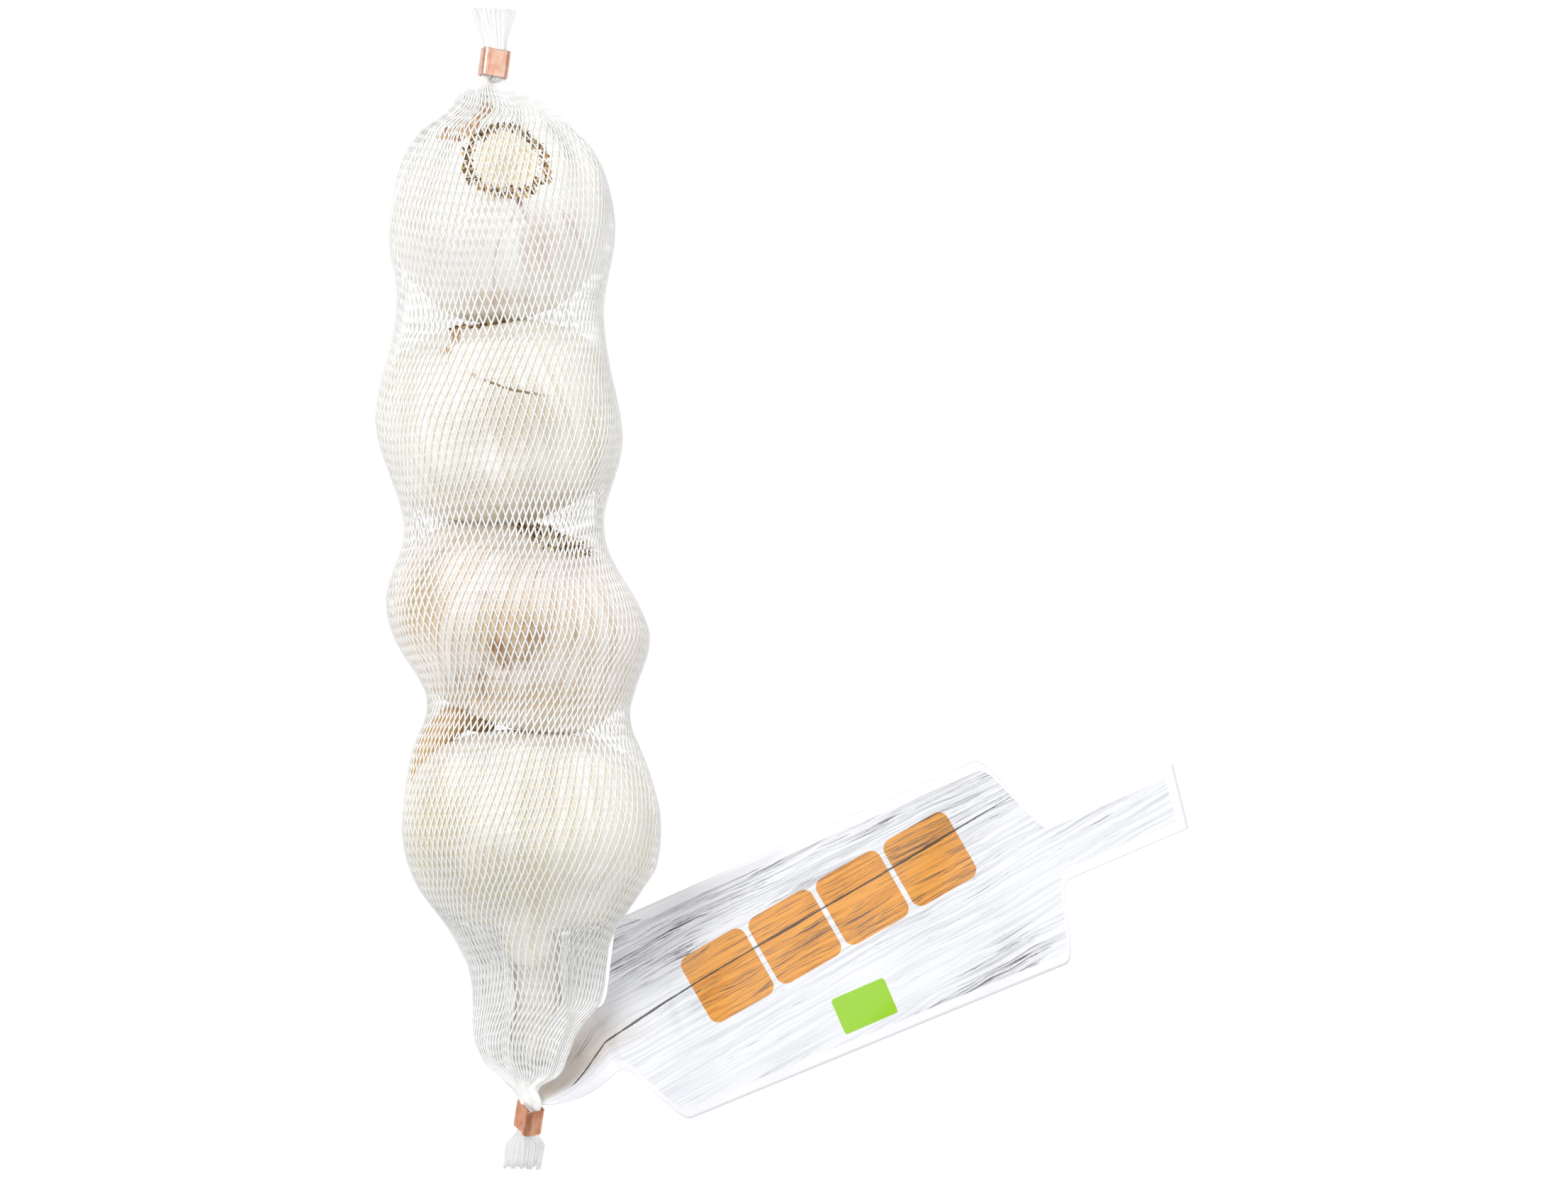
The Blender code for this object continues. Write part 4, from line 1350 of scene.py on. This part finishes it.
def add_label(finish):
    points, u, v = film_sheet()
    rows, columns = u.shape
    count = rows * columns
    normal = unit(np.cross(np.gradient(points, axis=0), np.gradient(points, axis=1))) * FILM_THICKNESS / 2
    vertices = np.vstack([(points + normal).reshape(-1, 3), (points - normal).reshape(-1, 3)])
    top = grid_faces(rows, columns, False)
    index = np.arange(count).reshape(rows, columns)
    loop = np.concatenate([index[0], index[1:, -1], index[-1, -2::-1], index[-2:0:-1, 0]])
    after = np.roll(loop, -1)
    rim = np.stack([loop, after, after + count, loop + count], -1)
    faces = np.vstack([top, top[:, ::-1] + count, rim[:, ::-1]])
    label = new_mesh("label_film", vertices, faces, finish)
    print_u, print_v = print_place(u, v)
    bent_v = print_v + GRAIN_BEND * smoothstep(*GRAIN_BENT, v) * (u - PRINT_PIVOT) * math.sin(PRINT_TURN)
    add_value(label, "print", np.tile(np.stack([print_u, bent_v, 0 * u], -1).reshape(-1, 3), (2, 1)))
    add_value(label, "margin", np.concatenate([print_margin(u, v).ravel(), np.full(count, -1.0)]))
    values = {
        "orange": print_fields(print_u, print_v),
        "green": rounded_box(u, v, GREEN_MIDDLE, GREEN_HALF, GREEN_CORNER),
        "crack": print_v - np.interp(print_u, *zip(*CRACK_STATIONS)),
        "crack_width": CRACK_WIDTH * window(CRACK_RISE, CRACK_FALL, u),
        "worn_and_shaded": wear_and_net_shade(u, v),
        "shade": SHADE * (1 - smoothstep(*SHADE_FADE, u + 0.4 * v)) * smoothstep(*SHADE_EDGE, v),
    }
    for name, numbers in values.items():
        add_value(label, name, np.tile(numbers.ravel(), 2))
    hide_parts("label")
    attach(label, "root")


# Studio


FLOOR_SIDE = 4000.0
CLIP_END = 20.0
SKY_STRENGTH = 0.55
LIGHT_TARGET = (-0.03, 0.0, 0.02)

# Area lights, in metres and watts: (name, location, size, power)
LIGHTS = (
    ("key", (-0.75, 0.8, 1.7), 0.8, 18.0),
    ("front", (0.35, -0.3, 2.3), 1.0, 6.4),
    ("fill", (0.75, 0.65, 1.8), 1.2, 3.4),
)


def add_floor():
    corners = [(x * FLOOR_SIDE, y * FLOOR_SIDE, 0.0) for x, y in ((-1, -1), (1, -1), (1, 1), (-1, 1))]
    floor = new_mesh("floor", corners, [(0, 1, 2, 3)], floor_finish(), smooth=False)


def add_area_light(name, location, size, power):
    data = bpy.data.lights.new(name, "AREA")
    data.shape = "DISK"
    data.size = size
    data.energy = power
    light = bpy.data.objects.new(name, data)
    bpy.context.scene.collection.objects.link(light)
    light.location = location
    light.visible_camera = False
    light.rotation_euler = (Vector(LIGHT_TARGET) - Vector(location)).to_track_quat("-Z", "Y").to_euler()


def add_camera():
    data = bpy.data.cameras.new("camera")
    data.sensor_width = SENSOR_WIDTH
    data.lens = SENSOR_WIDTH * (CAMERA_HEIGHT - SHARP_PLANE) / (PHOTO_WIDTH * MM_PER_PIXEL)
    data.clip_end = CLIP_END
    camera = bpy.data.objects.new("camera", data)
    camera.location = (0.0, 0.0, CAMERA_HEIGHT * MM)
    bpy.context.scene.collection.objects.link(camera)
    bpy.context.scene.camera = camera


def add_studio():
    add_floor()
    add_camera()
    world = bpy.data.worlds.new("studio")
    world.use_nodes = True
    sky = world.node_tree.nodes["Background"].inputs
    sky["Color"].default_value = WHITE
    sky["Strength"].default_value = SKY_STRENGTH
    bpy.context.scene.world = world
    for light in LIGHTS:
        add_area_light(*light)
    bpy.context.scene.view_settings.view_transform = "Standard"


def main():
    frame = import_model()
    surface = NetSurface(frame["nodes"]["net_sleeve"])
    outer, inner = net_finish("net_strand", NET_GLOW[0]), net_finish("net_strand_inner", NET_GLOW[1])
    add_strands("net_strands_outer", surface, -1, 0, outer)
    add_strands("net_strands_inner", surface, 1, 1, inner)
    # The top folds are a darker grey copy of the bottom folds: painted shade against the stronger key light
    # on them
    veil = net_finish("net_fold_top", 0.1, rgb(214, 213, 211), rgb(228, 227, 225))
    add_folds("net_folds_top", TOP_FOLDS, NET_SPAN[1], surface, veil)
    veil = net_finish("net_fold", 0.12, rgb(226, 225, 223), rgb(238, 237, 235))
    add_folds("net_folds_bottom", BOTTOM_FOLDS, NET_SPAN[0], surface, veil)
    # The tufts' greys are lowered and their glow raised to lift the shade between strands, painted light; the
    # bottom tuft is the darker copy, painted shade
    add_tuft(TOP_TUFT, net_finish("net_tuft_top", 0.28, rgb(211, 211, 211), rgb(227, 227, 227)))
    add_tuft(BOTTOM_TUFT, net_finish("net_tuft_bottom", 0.24, rgb(205, 205, 205), rgb(220, 220, 220)))
    add_bulbs(surface)
    # Both clips are the same copper: the top clip's paler colours are a painted reflection and the bottom
    # clip's deeper ones painted shade; their brushed grain runs different ways
    lit_copper = copper_finish("copper_bright", rgb(214, 158, 134), rgb(229, 192, 172), (0.24, 0.42), ACROSS)
    shaded_copper = copper_finish("copper_dull", rgb(198, 131, 97), rgb(220, 161, 131), (0.26, 0.46), ALONG)
    add_clip(TOP_CLIP, lit_copper)
    add_clip(BOTTOM_CLIP, shaded_copper)
    add_label(label_finish())
    add_studio()


main()
